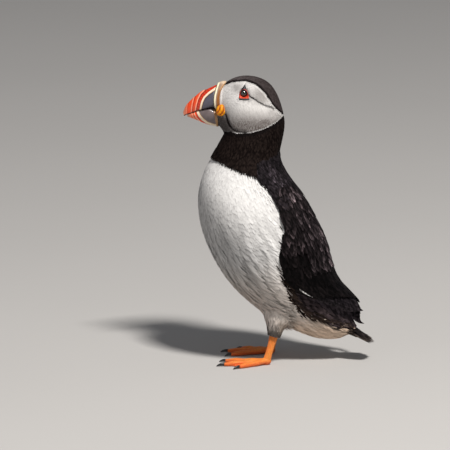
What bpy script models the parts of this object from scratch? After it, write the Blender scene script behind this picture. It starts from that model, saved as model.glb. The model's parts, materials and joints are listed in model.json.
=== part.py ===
"""A standing Atlantic puffin at life size, as closed solids that meet with a thin gap.

Metres, +Z up. The bill points along -X and +Y is the bird's right. The origin is on the floor, under the
middle of the bird's length and breadth. Sizes here are in millimetres, and MIDDLE is the point of this
file's own frame that ends up over the origin.
"""

import math
from typing import NamedTuple

import bmesh
import bpy
import numpy as np
from mathutils import Matrix, Vector
from mathutils.bvhtree import BVHTree

MM = 0.001
GAP = 0.3
MIDDLE = (-0.915, -0.41)
LEFT = -1
RIGHT = 1
SIDES = {"left": LEFT, "right": RIGHT}

# Head, neck and trunk
BODY_SIDES = 32
HEAD_RINGS = 14
NECK_RINGS = 6
TRUNK_RINGS = 18
TRUNK_END = 18.0
HEAD_END = 4.45
NECK_END = 6.7

# Eyes
EYE_X = -32.2
EYE_Z = 240.0
EYE_RADIUS = 3.7
EYE_PROUD = 1.5

# Rosette: the wrinkled yellow skin at the corner of the mouth
ROSETTE_CENTRE = (-51.8, 9.8, 223.6)
ROSETTE_RADII = (4.6, 3.6, 5.2)
ROSETTE_TILT = math.radians(24)

# Wings
WING_THICKNESS = 3.6
WING_MIDLINE = 0.6
WING_REACH = 80.0
RIGHT_WING_SLIDE = 12.0
RIGHT_WING_DROOP = math.radians(1.6)

# Tail: a folded fan of feathers
TAIL_ROOT = (48.0, 33.0)
TAIL_TIP = (82.9, 15.4)
TAIL_SIDES = 22

# Legs and feet
LEG_SIDES = 14
FOOT_SPREAD = 22.0
FOOT_X = {"left": -12.9, "right": -9.0}
FOOT_YAW = {"left": math.radians(10), "right": math.radians(5)}
ANKLE_BACK = 7.0
ANKLE_HEIGHT = 25.0
ANKLE_INWARD = 1.5
THIGH_TOP = (0.0, 13.5, 54.0)
TOE_JOINT_HEIGHT = 3.4
HEEL_BACK = 0.8
HEEL_HEIGHT = 2.8
HEEL_RADII = (4.6, 3.7, 4.0)
WEB_TOP = 1.7
CLAW_RADIUS = 1.35


class Station(NamedTuple):
    """A cross-section of the body, from its belly side to its back in the plane of symmetry."""

    ventral: tuple
    dorsal: tuple
    half_breadth: float
    egg: float = 0.0
    wing_back: float = 0.0
    wing_side: float = 0.0


BODY = {
    "bill_base": Station((-53.2, 208.2), (-50.0, 245.4), 9.5, 0.05),
    "brow": Station((-50.6, 204.4), (-40.5, 251.0), 15.5, 0.08),
    "crown": Station((-49.4, 201.0), (-26.5, 252.8), 20.5, 0.08),
    "occiput": Station((-51.2, 197.2), (-9.2, 245.6), 22.8, 0.06),
    "nape": Station((-54.2, 192.4), (0.6, 227.0), 23.5, 0.0),
    "neck": Station((-59.0, 184.0), (3.4, 208.5), 24.5, 0.0),
    "neck_base": Station((-63.8, 175.0), (0.0, 190.0), 27.5, 0.0),
    "collar": Station((-68.2, 165.0), (-0.4, 177.5), 32.0, 0.0, 0.7, 0.7),
    "shoulder": Station((-71.6, 153.2), (5.2, 165.0), 37.5, 0.0, 1.0, 1.2),
    "breast": Station((-72.4, 139.4), (13.2, 151.0), 42.0, 0.02, 1.2, 2.6),
    "mantle": Station((-69.2, 118.6), (26.4, 127.2), 45.5, 0.04, 1.4, 3.8),
    "belly": Station((-61.1, 97.5), (35.9, 104.6), 44.5, 0.06, 1.9, 4.6),
    "flank": Station((-49.4, 76.6), (39.4, 88.0), 40.5, 0.08, 2.8, 4.6),
    "loin": Station((-33.4, 58.4), (43.6, 72.2), 34.5, 0.06, 4.8, 4.2),
    "rump": Station((-13.6, 42.2), (49.4, 60.4), 27.5, 0.0, 7.6, 4.0),
    "vent": Station((9.6, 28.8), (54.6, 49.8), 21.5, 0.0, 10.8, 3.6),
    "undertail": Station((32.0, 20.4), (60.2, 41.0), 16.0, 0.0, 13.0, 2.4),
    "tail_root": Station((50.5, 20.2), (64.8, 33.8), 10.5, 0.0, 13.6, 1.4),
    "tail_socket": Station((59.5, 23.4), (67.2, 29.6), 6.0, 0.0, 13.0, 1.6),
    "tail": Station((68.0, 16.5), (77.0, 25.0), 6.0, 0.0, 11.0, 1.8),
}

# The left wing's outline seen from the side, from the bend of the wing round its lower edge to the tip and back
WING_OUTLINE = (
    (2.0, 161.0),
    (-4.6, 151.0),
    (-3.6, 138.0),
    (-0.4, 124.0),
    (0.6, 111.0),
    (1.4, 99.0),
    (4.2, 86.5),
    (10.6, 75.0),
    (22.5, 65.2),
    (36.5, 57.0),
    (50.0, 50.6),
    (62.5, 45.0),
    (70.4, 42.6),
    (72.6, 45.2),
    (69.6, 50.0),
    (62.6, 58.0),
    (52.8, 70.0),
    (44.6, 85.0),
    (36.4, 104.0),
    (24.4, 129.0),
    (11.0, 152.0),
)
WING_TIP = WING_OUTLINE[13]


class Slice(NamedTuple):
    """A cross-section of the bill: its lower and upper points in the plane of symmetry, and half its width."""

    low: tuple
    high: tuple
    half_width: float


UPPER_BILL = (
    Slice((-49.0, 221.5), (-45.5, 247.6), 8.7),
    Slice((-54.6, 223.0), (-50.8, 247.6), 8.6),
    Slice((-60.4, 225.3), (-57.2, 244.3), 7.8),
    Slice((-66.0, 224.2), (-64.0, 241.4), 6.7),
    Slice((-72.0, 222.5), (-71.0, 237.6), 5.3),
    Slice((-77.2, 220.7), (-77.6, 232.0), 3.8),
    Slice((-81.4, 219.0), (-82.6, 226.3), 2.3),
    Slice((-84.2, 217.3), (-85.0, 220.6), 0.9),
)
LOWER_BILL = (
    Slice((-49.0, 208.6), (-48.6, 221.4), 7.2),
    Slice((-54.4, 208.2), (-54.0, 222.6), 7.0),
    Slice((-61.9, 209.2), (-60.4, 224.9), 6.4),
    Slice((-67.4, 211.2), (-66.6, 223.7), 5.4),
    Slice((-73.6, 213.9), (-73.0, 221.8), 4.0),
    Slice((-78.4, 215.7), (-78.2, 219.9), 2.5),
    Slice((-81.4, 216.8), (-81.4, 218.4), 1.1),
)


class Toe(NamedTuple):
    """A toe: its length without the claw, its angle from the foot's own line, and its claw's length."""

    length: float
    angle: float
    claw: float


TOES = {
    "inner": Toe(28.0, math.radians(-24), 6.0),
    "middle": Toe(37.0, 0.0, 6.5),
    "outer": Toe(36.0, math.radians(23), 5.5),
}


def clear_scene():
    """Removes every object of the startup scene."""
    for item in list(bpy.data.objects):
        bpy.data.objects.remove(item)


def new_collection(name):
    """Makes a collection in the scene."""
    made = bpy.data.collections.new(name)
    bpy.context.scene.collection.children.link(made)
    return made


def finish(name, colour, roughness):
    """Makes a plain material."""
    material = bpy.data.materials.new(name)
    material.use_nodes = True
    shader = material.node_tree.nodes["Principled BSDF"]
    shader.inputs["Base Color"].default_value = (*colour, 1.0)
    shader.inputs["Roughness"].default_value = roughness
    return material


def spline(values, places):
    """Reads a natural cubic spline through values, one for each whole number, at the given places."""
    values = np.asarray(values, float)
    count = len(values)
    matrix = np.eye(count)
    right = np.zeros_like(values)
    for row in range(1, count - 1):
        matrix[row, row - 1 : row + 2] = (1.0, 4.0, 1.0)
        right[row] = 6.0 * (values[row + 1] - 2.0 * values[row] + values[row - 1])
    bend = np.linalg.solve(matrix, right)
    places = np.asarray(places, float)
    first = np.clip(np.floor(places).astype(int), 0, count - 2)
    after = (places - first).reshape(-1, *[1] * (values.ndim - 1))
    before = 1.0 - after
    return (
        before * values[first]
        + after * values[first + 1]
        + ((before**3 - before) * bend[first] + (after**3 - after) * bend[first + 1]) / 6.0
    )


def ring(low, high, half_breadth, sides, egg=0.0):
    """Points of a closed section through low and high, (x, z) pairs. A positive egg is broader near low."""
    low, high = np.asarray(low, float), np.asarray(high, float)
    centre, half = (low + high) / 2.0, (high - low) / 2.0
    points = []
    for step in range(sides):
        turn = math.tau * step / sides
        across = half_breadth * math.sin(turn) * (1.0 - egg * math.cos(turn))
        x, z = centre + half * math.cos(turn)
        points.append((x, across, z))
    return points


def body_ring(place, grow=0.0, lift_from=None):
    """The body's section at a place along BODY, grown outwards, or lifted to the folded wings' surface.

    lift_from is how much of the wings' depth to leave out: 0 gives their outer surface.
    """
    rows = [
        (*s.ventral, *s.dorsal, s.half_breadth, s.egg, s.wing_back, s.wing_side) for s in BODY.values()
    ]
    vx, vz, dx, dz, breadth, egg, back, side = spline(rows, [place])[0]
    ventral, dorsal = np.array((vx, vz)), np.array((dx, dz))
    towards_back = (dorsal - ventral) / np.linalg.norm(dorsal - ventral)
    back_lift = side_lift = 0.0
    if lift_from is not None:
        back_lift = max(back - lift_from, 0.0)
        side_lift = max(side - lift_from, 0.0)
    ventral = ventral - towards_back * grow
    dorsal = dorsal + towards_back * (grow + back_lift)
    return ring(ventral, dorsal, breadth + grow + side_lift, BODY_SIDES, egg)


def shifted(points, distance):
    """A flat section moved along its own normal, towards the tail."""
    array = np.asarray(points)
    quarter = len(array) // 4
    normal = np.cross(array[quarter] - array[3 * quarter], array[0] - array[2 * quarter])
    return array + normal / np.linalg.norm(normal) * distance


def new_object(name, mesh, collection, material=None, helper=False):
    """Puts a mesh in the scene. A helper is a cutter, which doesn't render."""
    item = bpy.data.objects.new(name, mesh)
    collection.objects.link(item)
    if material:
        mesh.materials.append(material)
    if helper:
        item.hide_render = True
        item.display_type = "WIRE"
    else:
        mesh.shade_smooth()
        mesh.set_sharp_from_angle(angle=math.radians(50))
    return item


def loft(name, sections, collection, material=None, helper=False):
    """A closed solid through flat sections with as many points each, in millimetres."""
    shape = bmesh.new()
    rows = [[shape.verts.new(Vector(p) * MM) for p in section] for section in sections]
    for first, second in zip(rows, rows[1:]):
        for step in range(len(first)):
            after = (step + 1) % len(first)
            shape.faces.new((first[step], first[after], second[after], second[step]))
    shape.faces.new(rows[0][::-1])
    shape.faces.new(rows[-1])
    bmesh.ops.recalc_face_normals(shape, faces=shape.faces)
    if shape.calc_volume(signed=True) < 0.0:
        bmesh.ops.reverse_faces(shape, faces=shape.faces)
    mesh = bpy.data.meshes.new(name)
    shape.to_mesh(mesh)
    shape.free()
    return new_object(name, mesh, collection, material, helper)


def prism(name, outline, low, high, collection, upright=False):
    """A helper solid: a flat outline pushed from low to high, along Y, or along Z if upright."""
    shape = bmesh.new()
    place = (lambda a, b: (a, b, low)) if upright else (lambda a, b: (a, low, b))
    corners = [shape.verts.new(Vector(place(*point)) * MM) for point in outline]
    face = shape.faces.new(corners)
    pushed = bmesh.ops.extrude_face_region(shape, geom=[face])["geom"]
    direction = Vector((0, 0, 1) if upright else (0, 1, 0)) * (high - low) * MM
    bmesh.ops.translate(shape, vec=direction, verts=[v for v in pushed if isinstance(v, bmesh.types.BMVert)])
    bmesh.ops.recalc_face_normals(shape, faces=shape.faces)
    mesh = bpy.data.meshes.new(name)
    shape.to_mesh(mesh)
    shape.free()
    return new_object(name, mesh, collection, helper=True)


def ball(name, centre, radii, collection, material=None, helper=False, tilt=0.0, segments=16, rings=10):
    """An ellipsoid at centre, turned by tilt about Y."""
    shape = bmesh.new()
    place = Matrix.Translation(Vector(centre) * MM) @ Matrix.Rotation(tilt, 4, "Y")
    size = Matrix.Diagonal((*[r * MM for r in radii], 1.0))
    bmesh.ops.create_uvsphere(shape, u_segments=segments, v_segments=rings, radius=1.0, matrix=place @ size)
    mesh = bpy.data.meshes.new(name)
    shape.to_mesh(mesh)
    shape.free()
    return new_object(name, mesh, collection, material, helper)


def boolean(target, tool, operation):
    """Cuts, joins or meets target with tool."""
    step = target.modifiers.new(f"{operation.lower()}_{tool.name}", "BOOLEAN")
    step.operation = operation
    step.object = tool


def tube(path, radii, sides, flat=1.0):
    """Sections of a tube along path, round in the plane across it and flat times as wide sideways."""
    path = [Vector(p) for p in path]
    sections = []
    for index, point in enumerate(path):
        along = (path[min(index + 1, len(path) - 1)] - path[max(index - 1, 0)]).normalized()
        sideways = Vector((0, 1, 0))
        sideways = (sideways - along * sideways.dot(along)).normalized()
        up = along.cross(sideways)
        turns = [math.tau * step / sides for step in range(sides)]
        reach = radii[index]
        sections.append(
            [point + up * (reach * math.cos(t)) + sideways * (reach * flat * math.sin(t)) for t in turns]
        )
    return sections


def build_body(parts, helpers, materials):
    """Head, neck and trunk: one surface parted by two thin cuts."""
    spans = {
        "head": (0.0, HEAD_END, HEAD_RINGS),
        "neck": (HEAD_END, NECK_END, NECK_RINGS),
        "trunk": (NECK_END, TRUNK_END, TRUNK_RINGS),
    }
    made = {}
    for name, (start, end, count) in spans.items():
        sections = [body_ring(place) for place in np.linspace(start, end, count)]
        if start:
            sections[0] = shifted(sections[0], GAP)
        made[name] = loft(name, sections, parts, materials["plumage"])
    places = np.unique([p for start, end, count in spans.values() for p in np.linspace(start, end, count)])
    sections = [body_ring(p, GAP) for p in places]
    sections[0] = shifted(sections[0], -GAP)
    made["body_cutter"] = loft("body_cutter", sections, helpers, helper=True)
    return made


def build_eyes(parts, helpers, materials, head):
    """Each eye is a ball that stands a little proud of the head, in a socket with a thin gap."""
    shape = bmesh.new()
    shape.from_mesh(head.data)
    surface = BVHTree.FromBMesh(shape)
    for name, side in SIDES.items():
        origin = Vector((EYE_X, side * WING_REACH, EYE_Z)) * MM
        hit = surface.ray_cast(origin, Vector((0, -side, 0)))[0] / MM
        centre = (EYE_X, hit.y - side * (EYE_RADIUS - EYE_PROUD), EYE_Z)
        ball(f"eye_{name}", centre, [EYE_RADIUS] * 3, parts, materials["eye"])
        socket = ball(f"socket_{name}", centre, [EYE_RADIUS + GAP] * 3, helpers, helper=True)
        boolean(head, socket, "DIFFERENCE")
    shape.free()


def build_bill(parts, helpers, materials, body_cutter):
    """Upper and lower bill, narrow at the ridge and the keel, with the rosettes at the corners of the mouth."""
    places = np.linspace(0.0, 1.0, 13)
    made = []
    for name, slices, egg in (("bill_upper", UPPER_BILL, 0.42), ("bill_lower", LOWER_BILL, -0.30)):
        rows = spline([(*s.low, *s.high, s.half_width) for s in slices], places * (len(slices) - 1))
        sections = [ring(row[:2], row[2:4], row[4], 18, egg) for row in rows]
        made.append(loft(name, sections, parts, materials["bill"]))
        boolean(made[-1], body_cutter, "DIFFERENCE")
    x, y, z = ROSETTE_CENTRE
    for name, side in SIDES.items():
        centre = (x, side * y, z)
        rosette = ball(
            f"rosette_{name}", centre, ROSETTE_RADII, parts, materials["rosette"], tilt=ROSETTE_TILT
        )
        boolean(rosette, body_cutter, "DIFFERENCE")
        hollow = ball(
            f"rosette_seat_{name}", centre, [r + GAP for r in ROSETTE_RADII], helpers,
            helper=True, tilt=ROSETTE_TILT,
        )
        for half in made:
            boolean(half, hollow, "DIFFERENCE")


def build_wings(parts, helpers, materials):
    """Each folded wing lies between the trunk and a cloak round it, inside the wing's outline."""
    last = len(BODY) - 1
    places = np.linspace(7.0, last, 24)
    outline = spline(WING_OUTLINE + WING_OUTLINE[:1], np.linspace(0, len(WING_OUTLINE), 55)[:-1])
    for name, side in SIDES.items():
        near, far = sorted((side * WING_MIDLINE, side * WING_REACH))
        wing = prism(f"wing_{name}", outline, near, far, parts)
        wing.hide_render = False
        wing.display_type = "TEXTURED"
        wing.data.materials.append(materials["plumage"])
        cloak = loft(f"cloak_{name}", [body_ring(p, 0.0, 0.0) for p in places], helpers, helper=True)
        if side == RIGHT:
            bend = Vector((WING_OUTLINE[0][0], 0.0, WING_OUTLINE[0][1])) * MM
            tip = Vector((WING_TIP[0], 0.0, WING_TIP[1])) * MM
            slide = Matrix.Translation((tip - bend).normalized() * RIGHT_WING_SLIDE * MM)
            turn = Matrix.Rotation(RIGHT_WING_DROOP, 4, "Y")
            move = slide @ Matrix.Translation(bend) @ turn @ Matrix.Translation(-bend)
            wing.data.transform(move)
        boolean(wing, cloak, "INTERSECT")
        lining = [body_ring(p, GAP, WING_THICKNESS) for p in np.linspace(6.0, last + 0.2, 26)]
        boolean(wing, loft(f"lining_{name}", lining, helpers, helper=True), "DIFFERENCE")


def build_tail(parts, materials, body_cutter):
    """The folded tail fan: a flat, slightly arched wedge that leaves the rump."""
    root, tip = np.array(TAIL_ROOT), np.array(TAIL_TIP)
    along = (tip - root) / np.linalg.norm(tip - root)
    up = np.array((-along[1], along[0]))
    spread = (13.0, 15.5, 17.5, 18.0, 16.0, 10.0)
    depth = (3.6, 3.8, 3.4, 2.7, 1.8, 0.6)
    reach = (0.0, 0.3, 0.55, 0.78, 0.92, 1.0)
    rows = spline(list(zip(reach, spread, depth)), np.linspace(0, len(reach) - 1, 10))
    sections = []
    for share, half_breadth, half_depth in rows:
        centre = root + (tip - root) * share
        sections.append(
            ring(centre - up * half_depth, centre + up * half_depth, half_breadth, TAIL_SIDES)
        )
    tail = loft("tail", sections, parts, materials["plumage"])
    boolean(tail, body_cutter, "DIFFERENCE")


def toe_path(toe, bend=0.0):
    """Points of a toe's axis in the foot's own frame, where the foot points along -X."""
    direction = Vector((-math.cos(toe.angle), math.sin(toe.angle), 0.0))
    shares = (0.0, 0.18, 0.36, 0.54, 0.72, 0.88, 1.0)
    heights = (TOE_JOINT_HEIGHT, 3.0, 2.7, 2.3, 2.3, 1.9, 1.7)
    return [direction * (toe.length * s) + Vector((0, 0, h + bend)) for s, h in zip(shares, heights)]


def build_foot(name, side, parts, helpers, materials):
    """Three webbed toes with flat undersides, their claws, and the leg up to the ankle."""
    place = Matrix.Translation(Vector((FOOT_X[name], side * FOOT_SPREAD, 0.0)) * MM)
    turn = place @ Matrix.Rotation(-side * FOOT_YAW[name], 4, "Z")

    def own_side(point):
        return (point[0], -side * point[1], point[2])

    foot = ball(f"foot_{name}", (HEEL_BACK, 0, HEEL_HEIGHT), HEEL_RADII, parts, materials["leg"])
    web_edge = []
    for kind, toe in TOES.items():
        path = toe_path(toe)
        girth = (2.9, 2.5, 2.7, 2.2, 2.4, 2.0, 1.5)
        sections = tube([own_side(p) for p in path], girth, 10, 1.1)
        toe_solid = loft(f"toe_{kind}_{name}", sections, helpers, helper=True)
        boolean(foot, toe_solid, "UNION")
        web_edge.append(path[-2])
        tip = path[-1]
        direction = (tip - path[-2]).normalized()
        claw_path = [
            tip + direction * (GAP + toe.claw * share) + Vector((0, 0, drop))
            for share, drop in ((0.0, 0.3), (0.35, 0.35), (0.7, -0.1), (1.0, -0.95))
        ]
        claw_girth = (CLAW_RADIUS, CLAW_RADIUS * 0.9, CLAW_RADIUS * 0.6, CLAW_RADIUS * 0.22)
        claw_sections = tube([own_side(p) for p in claw_path], claw_girth, 10, 0.8)
        claw = loft(f"claw_{kind}_{name}", claw_sections, parts, materials["claw"])
        claw.data.transform(turn)
    outline = [Vector((2.0, 0.0, 0.0))]
    for first, second in zip(web_edge, web_edge[1:]):
        hollow = (first + second) / 2.0 * 0.88
        for share in np.linspace(0.0, 1.0, 7)[: 7 if second is web_edge[-1] else 6]:
            outline.append(first * (1 - share) ** 2 + hollow * 2 * share * (1 - share) + second * share**2)
    web = prism(f"web_{name}", [own_side(p)[:2] for p in outline], 0.0, WEB_TOP, helpers, upright=True)
    boolean(foot, web, "UNION")
    floor = [(-60, -60), (20, -60), (20, 60), (-60, 60)]
    boolean(foot, prism(f"floor_{name}", floor, -10.0, 0.0, helpers, upright=True), "DIFFERENCE")
    for item in (foot, *[o for o in helpers.objects if o.name.endswith(f"_{name}") and o.name.startswith(
            ("toe_", "web_", "floor_"))]):
        item.data.transform(turn)
    return foot


def toe_swell(name, side, helpers):
    """The room the roots of the toes take in front of the heel."""
    middle = (FOOT_X[name] - 2.4, side * FOOT_SPREAD, TOE_JOINT_HEIGHT)
    return ball(f"toe_room_{name}", middle, (4.6, 4.0, 3.3), helpers, helper=True)


def build_leg(name, side, parts, helpers, materials, body_cutter):
    """Tarsus and feathered thigh above one foot."""
    build_foot(name, side, parts, helpers, materials)
    heel = Vector((FOOT_X[name] + 0.8, side * FOOT_SPREAD, TOE_JOINT_HEIGHT))
    ankle = Vector((FOOT_X[name] + ANKLE_BACK, side * (FOOT_SPREAD - ANKLE_INWARD), ANKLE_HEIGHT))
    shares = (0.0, 0.12, 0.3, 0.5, 0.7, 0.86, 1.0)
    girth = (3.7, 3.6, 3.5, 3.5, 3.6, 4.0, 4.2)
    path = [heel.lerp(ankle, share) for share in shares]
    tarsus = loft(f"tarsus_{name}", tube(path, girth, LEG_SIDES, 0.78), parts, materials["leg"])
    seat = ball(
        f"foot_seat_{name}", (FOOT_X[name] + HEEL_BACK, side * FOOT_SPREAD, HEEL_HEIGHT),
        [radius + GAP for radius in HEEL_RADII], helpers, helper=True,
    )
    boolean(seat, toe_swell(name, side, helpers), "UNION")
    boolean(tarsus, seat, "DIFFERENCE")
    top = Vector((THIGH_TOP[0], side * THIGH_TOP[1], THIGH_TOP[2]))
    start = ankle + (ankle - heel).normalized() * GAP
    shares = (0.0, 0.12, 0.3, 0.5, 0.75, 1.0)
    girth = (4.5, 5.4, 7.2, 10.0, 13.6, 16.0)
    path = [start, *[start.lerp(top, share) for share in shares[1:]]]
    path[1] = start + (ankle - heel).normalized() * (path[1] - start).length
    sections = tube(path, girth, LEG_SIDES, 0.85)
    thigh = loft(f"thigh_{name}", sections, parts, materials["plumage"])
    boolean(thigh, body_cutter, "DIFFERENCE")


def main():
    """Builds the bird."""
    clear_scene()
    parts = new_collection("atlantic_puffin")
    helpers = new_collection("cutters")
    materials = {
        "plumage": finish("plumage", (0.03, 0.025, 0.026), 0.75),
        "bill": finish("bill", (0.75, 0.16, 0.07), 0.4),
        "rosette": finish("rosette", (0.85, 0.38, 0.02), 0.55),
        "eye": finish("eye", (0.01, 0.008, 0.008), 0.1),
        "leg": finish("leg", (0.82, 0.22, 0.04), 0.5),
        "claw": finish("claw", (0.02, 0.02, 0.02), 0.35),
    }
    body = build_body(parts, helpers, materials)
    build_eyes(parts, helpers, materials, body["head"])
    build_bill(parts, helpers, materials, body["body_cutter"])
    build_wings(parts, helpers, materials)
    build_tail(parts, materials, body["body_cutter"])
    for name, side in SIDES.items():
        build_leg(name, side, parts, helpers, materials, body["body_cutter"])
    centred = Matrix.Translation(Vector((-MIDDLE[0], -MIDDLE[1], 0.0)) * MM)
    for item in (*parts.objects, *helpers.objects):
        item.data.transform(centred)


main()
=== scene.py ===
"""Dresses the standing Atlantic puffin from skin and feathers to bill, eyes and feet, and sets up the studio.

Lengths are in millimetres in the bird's own frame, where the bill points along -X and +Y is the bird's right.
MIDDLE is the point of that frame that stands over the origin of the world.
"""

from __future__ import annotations

import json
import logging
import math
from collections.abc import Callable, Sequence
from dataclasses import dataclass, replace
from enum import Enum

import bmesh
import bpy
import numpy as np
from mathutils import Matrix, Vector
from mathutils.bvhtree import BVHTree

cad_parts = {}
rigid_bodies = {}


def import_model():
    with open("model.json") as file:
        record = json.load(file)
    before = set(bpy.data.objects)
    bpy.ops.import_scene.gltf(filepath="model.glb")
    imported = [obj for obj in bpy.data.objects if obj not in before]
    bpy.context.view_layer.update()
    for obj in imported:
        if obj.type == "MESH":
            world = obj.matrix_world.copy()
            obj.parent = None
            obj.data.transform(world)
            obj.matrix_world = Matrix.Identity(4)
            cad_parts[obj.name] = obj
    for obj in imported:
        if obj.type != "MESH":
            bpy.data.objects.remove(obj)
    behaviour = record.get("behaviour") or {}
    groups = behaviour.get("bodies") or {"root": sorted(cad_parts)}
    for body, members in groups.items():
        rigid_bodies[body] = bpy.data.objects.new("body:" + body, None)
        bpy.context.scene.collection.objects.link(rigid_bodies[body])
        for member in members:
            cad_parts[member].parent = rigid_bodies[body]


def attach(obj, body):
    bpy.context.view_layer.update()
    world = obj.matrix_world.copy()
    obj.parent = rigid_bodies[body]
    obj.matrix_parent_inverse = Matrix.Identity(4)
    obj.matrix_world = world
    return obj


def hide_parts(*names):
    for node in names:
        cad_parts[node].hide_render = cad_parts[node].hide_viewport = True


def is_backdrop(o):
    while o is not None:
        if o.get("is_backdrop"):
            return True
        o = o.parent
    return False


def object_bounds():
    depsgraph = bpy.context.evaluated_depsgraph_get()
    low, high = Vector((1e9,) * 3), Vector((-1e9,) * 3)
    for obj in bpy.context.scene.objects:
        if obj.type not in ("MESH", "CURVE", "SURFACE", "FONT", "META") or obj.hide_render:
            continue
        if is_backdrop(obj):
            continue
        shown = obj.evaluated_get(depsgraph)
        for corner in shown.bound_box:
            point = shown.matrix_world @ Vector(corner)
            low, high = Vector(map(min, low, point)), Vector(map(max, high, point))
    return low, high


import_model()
CAD_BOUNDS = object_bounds()

LOG = logging.getLogger("puffin")
MM = 0.001
MIDDLE = np.array((-0.915, -0.41, 0.0))
BODY_NAME = "root"
PATCH = 0.003
TINY = 1e-12
Array = np.ndarray
Amount = Array | float
Mesh = bpy.types.Mesh
Socket = bpy.types.NodeSocket
Feeds = dict[str, object]
KINDS = {
    1: ("FLOAT", "value"),
    2: ("FLOAT2", "vector"),
    3: ("FLOAT_VECTOR", "vector"),
    4: ("FLOAT_COLOR", "color"),
}


# ---------------------------------------------------------------- numbers and meshes


def spline(values: Sequence, places: Array) -> Array:
    """Reads a natural cubic spline through values.

    Args:
        values: One value, or one row of values, for each whole number from 0.
        places: Where to read it.

    Returns:
        A value or a row for each place.
    """
    values = np.asarray(values, float)
    count = len(values)
    matrix = np.eye(count)
    right = np.zeros_like(values)
    for row in range(1, count - 1):
        matrix[row, row - 1 : row + 2] = (1.0, 4.0, 1.0)
        right[row] = 6.0 * (values[row + 1] - 2.0 * values[row] + values[row - 1])
    bend = np.linalg.solve(matrix, right)
    places = np.asarray(places, float)
    first = np.clip(np.floor(places).astype(int), 0, count - 2)
    after = (places - first).reshape(*places.shape, *[1] * (values.ndim - 1))
    before = 1.0 - after
    bent = (before**3 - before) * bend[first] + (after**3 - after) * bend[first + 1]
    return before * values[first] + after * values[first + 1] + bent / 6.0


def ease(low: float, high: float, value: Array) -> Array:
    """Eases from 0 at low to 1 at high."""
    share = np.clip((np.asarray(value, float) - low) / (high - low), 0.0, 1.0)
    return share * share * (3.0 - 2.0 * share)


def blend(first: Array, second: Array, share: Array) -> Array:
    """Mixes two colours, or rows of colours, by a share for each row."""
    share = np.asarray(share, float)[..., None]
    return np.asarray(first, float) * (1.0 - share) + np.asarray(second, float) * share


def layered(colour: Array, *coats: tuple[Sequence, Array]) -> Array:
    """Lays coats of colour over each other.

    Args:
        colour: The first colour, or a row for each point.
        coats: Each coat's colour and its share at every point.

    Returns:
        A colour for each point.
    """
    for shade, share in coats:
        colour = blend(colour, shade, share)
    return colour


def hump(value: Array, middle: float, width: float, steep: float = 1.0) -> Array:
    """A bell of a width: 1 at the middle and 0 far from it."""
    return np.exp(-(((value - middle) / width) ** 2) * steep)


def circle(count: int) -> Array:
    """Even angles round a circle, from 0."""
    return np.arange(count) * math.tau / count


def globe(rings: int, sides: int) -> tuple[Array, Array, Array]:
    """The rings of a ball of radius 1, without its poles.

    Args:
        rings: How many rings.
        sides: Points in each.

    Returns:
        How far across, up and out each point is, rings by sides.
    """
    polar = np.linspace(0.0, math.pi, rings + 2)[1:-1, None]
    turns = circle(sides)
    return np.sin(polar) * np.cos(turns), np.sin(polar) * np.sin(turns), np.cos(polar) * np.ones(sides)


def unit(vectors: Array) -> Array:
    """Scales rows to length 1."""
    return vectors / np.maximum(np.linalg.norm(vectors, axis=-1, keepdims=True), TINY)


def to_edge(points: Array, start: Array, end: Array) -> tuple[Array, Array]:
    """Measures from points to a straight edge.

    Args:
        points: N rows of coordinates.
        start: Where the edge begins.
        end: Where it ends.

    Returns:
        N distances, and N shares of the edge where it is nearest.
    """
    edge = end - start
    share = np.clip(((points - start) @ edge) / max(edge @ edge, TINY), 0.0, 1.0)
    return np.linalg.norm(points - start - share[:, None] * edge, axis=1), share


def outline_distance(points: Array, outline: Sequence) -> Array:
    """Signed distance from flat points to a closed outline, positive inside.

    Args:
        points: N rows of two coordinates.
        outline: The outline's corners, in order.

    Returns:
        N distances.
    """
    corners = np.asarray(outline, float)
    across, up = points.T
    nearest = np.full(len(points), np.inf)
    inside = np.zeros(len(points), bool)
    for start, end in zip(corners, np.roll(corners, -1, axis=0)):
        nearest = np.minimum(nearest, to_edge(points, start, end)[0])
        rise = end[1] - start[1]
        reach = start[0] + (up - start[1]) / (rise if abs(rise) > TINY else TINY) * (end[0] - start[0])
        inside ^= ((start[1] > up) != (end[1] > up)) & (across < reach)
    return np.where(inside, nearest, -nearest)


def line_distance(points: Array, line: Sequence) -> tuple[Array, Array]:
    """Distance from points to an open line, and how far along the line the nearest place is.

    Args:
        points: N rows of coordinates.
        line: The line's corners, in order.

    Returns:
        N distances and N shares of the line's length.
    """
    line = np.asarray(line, float)
    steps = np.linalg.norm(np.diff(line, axis=0), axis=1)
    begins = np.concatenate(([0.0], np.cumsum(steps)))
    nearest = np.full(len(points), np.inf)
    along = np.zeros(len(points))
    for start, end, step, begin in zip(line, line[1:], steps, begins):
        away, share = to_edge(points, start, end)
        closer = away < nearest
        nearest = np.where(closer, away, nearest)
        along = np.where(closer, (begin + share * step) / begins[-1], along)
    return nearest, along


def ripple(points: Array, size: float, seed: float = 0.0) -> Array:
    """Smooth noise from -1 to 1 made of crossed waves.

    Args:
        points: N rows of three coordinates.
        size: The noise's rough grain.
        seed: Moves the pattern.

    Returns:
        N values.
    """
    scaled = points / size
    total = np.zeros(len(points))
    for turn in range(4):
        a, b, c = (math.sin(seed + 2.1 * turn + k * 1.7) for k in range(3))
        phase = scaled @ np.array((1.0 + a, 1.3 * b + 0.6, 1.1 * c - 0.7)) * (1.0 + 0.45 * turn)
        total += np.sin(phase * 2.3 + seed * 5.0 + turn) / (1.0 + 0.5 * turn)
    return total / 2.3


class Side(Enum):
    """A side of the bird, as the sign of Y."""

    LEFT = -1
    RIGHT = 1

    @property
    def word(self) -> str:
        """The side's name in node names."""
        return self.name.lower()


def to_world(points: Array) -> Array:
    """Moves points from the bird's frame in millimetres to the world in metres."""
    return (np.asarray(points, float) - MIDDLE) * MM


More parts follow.
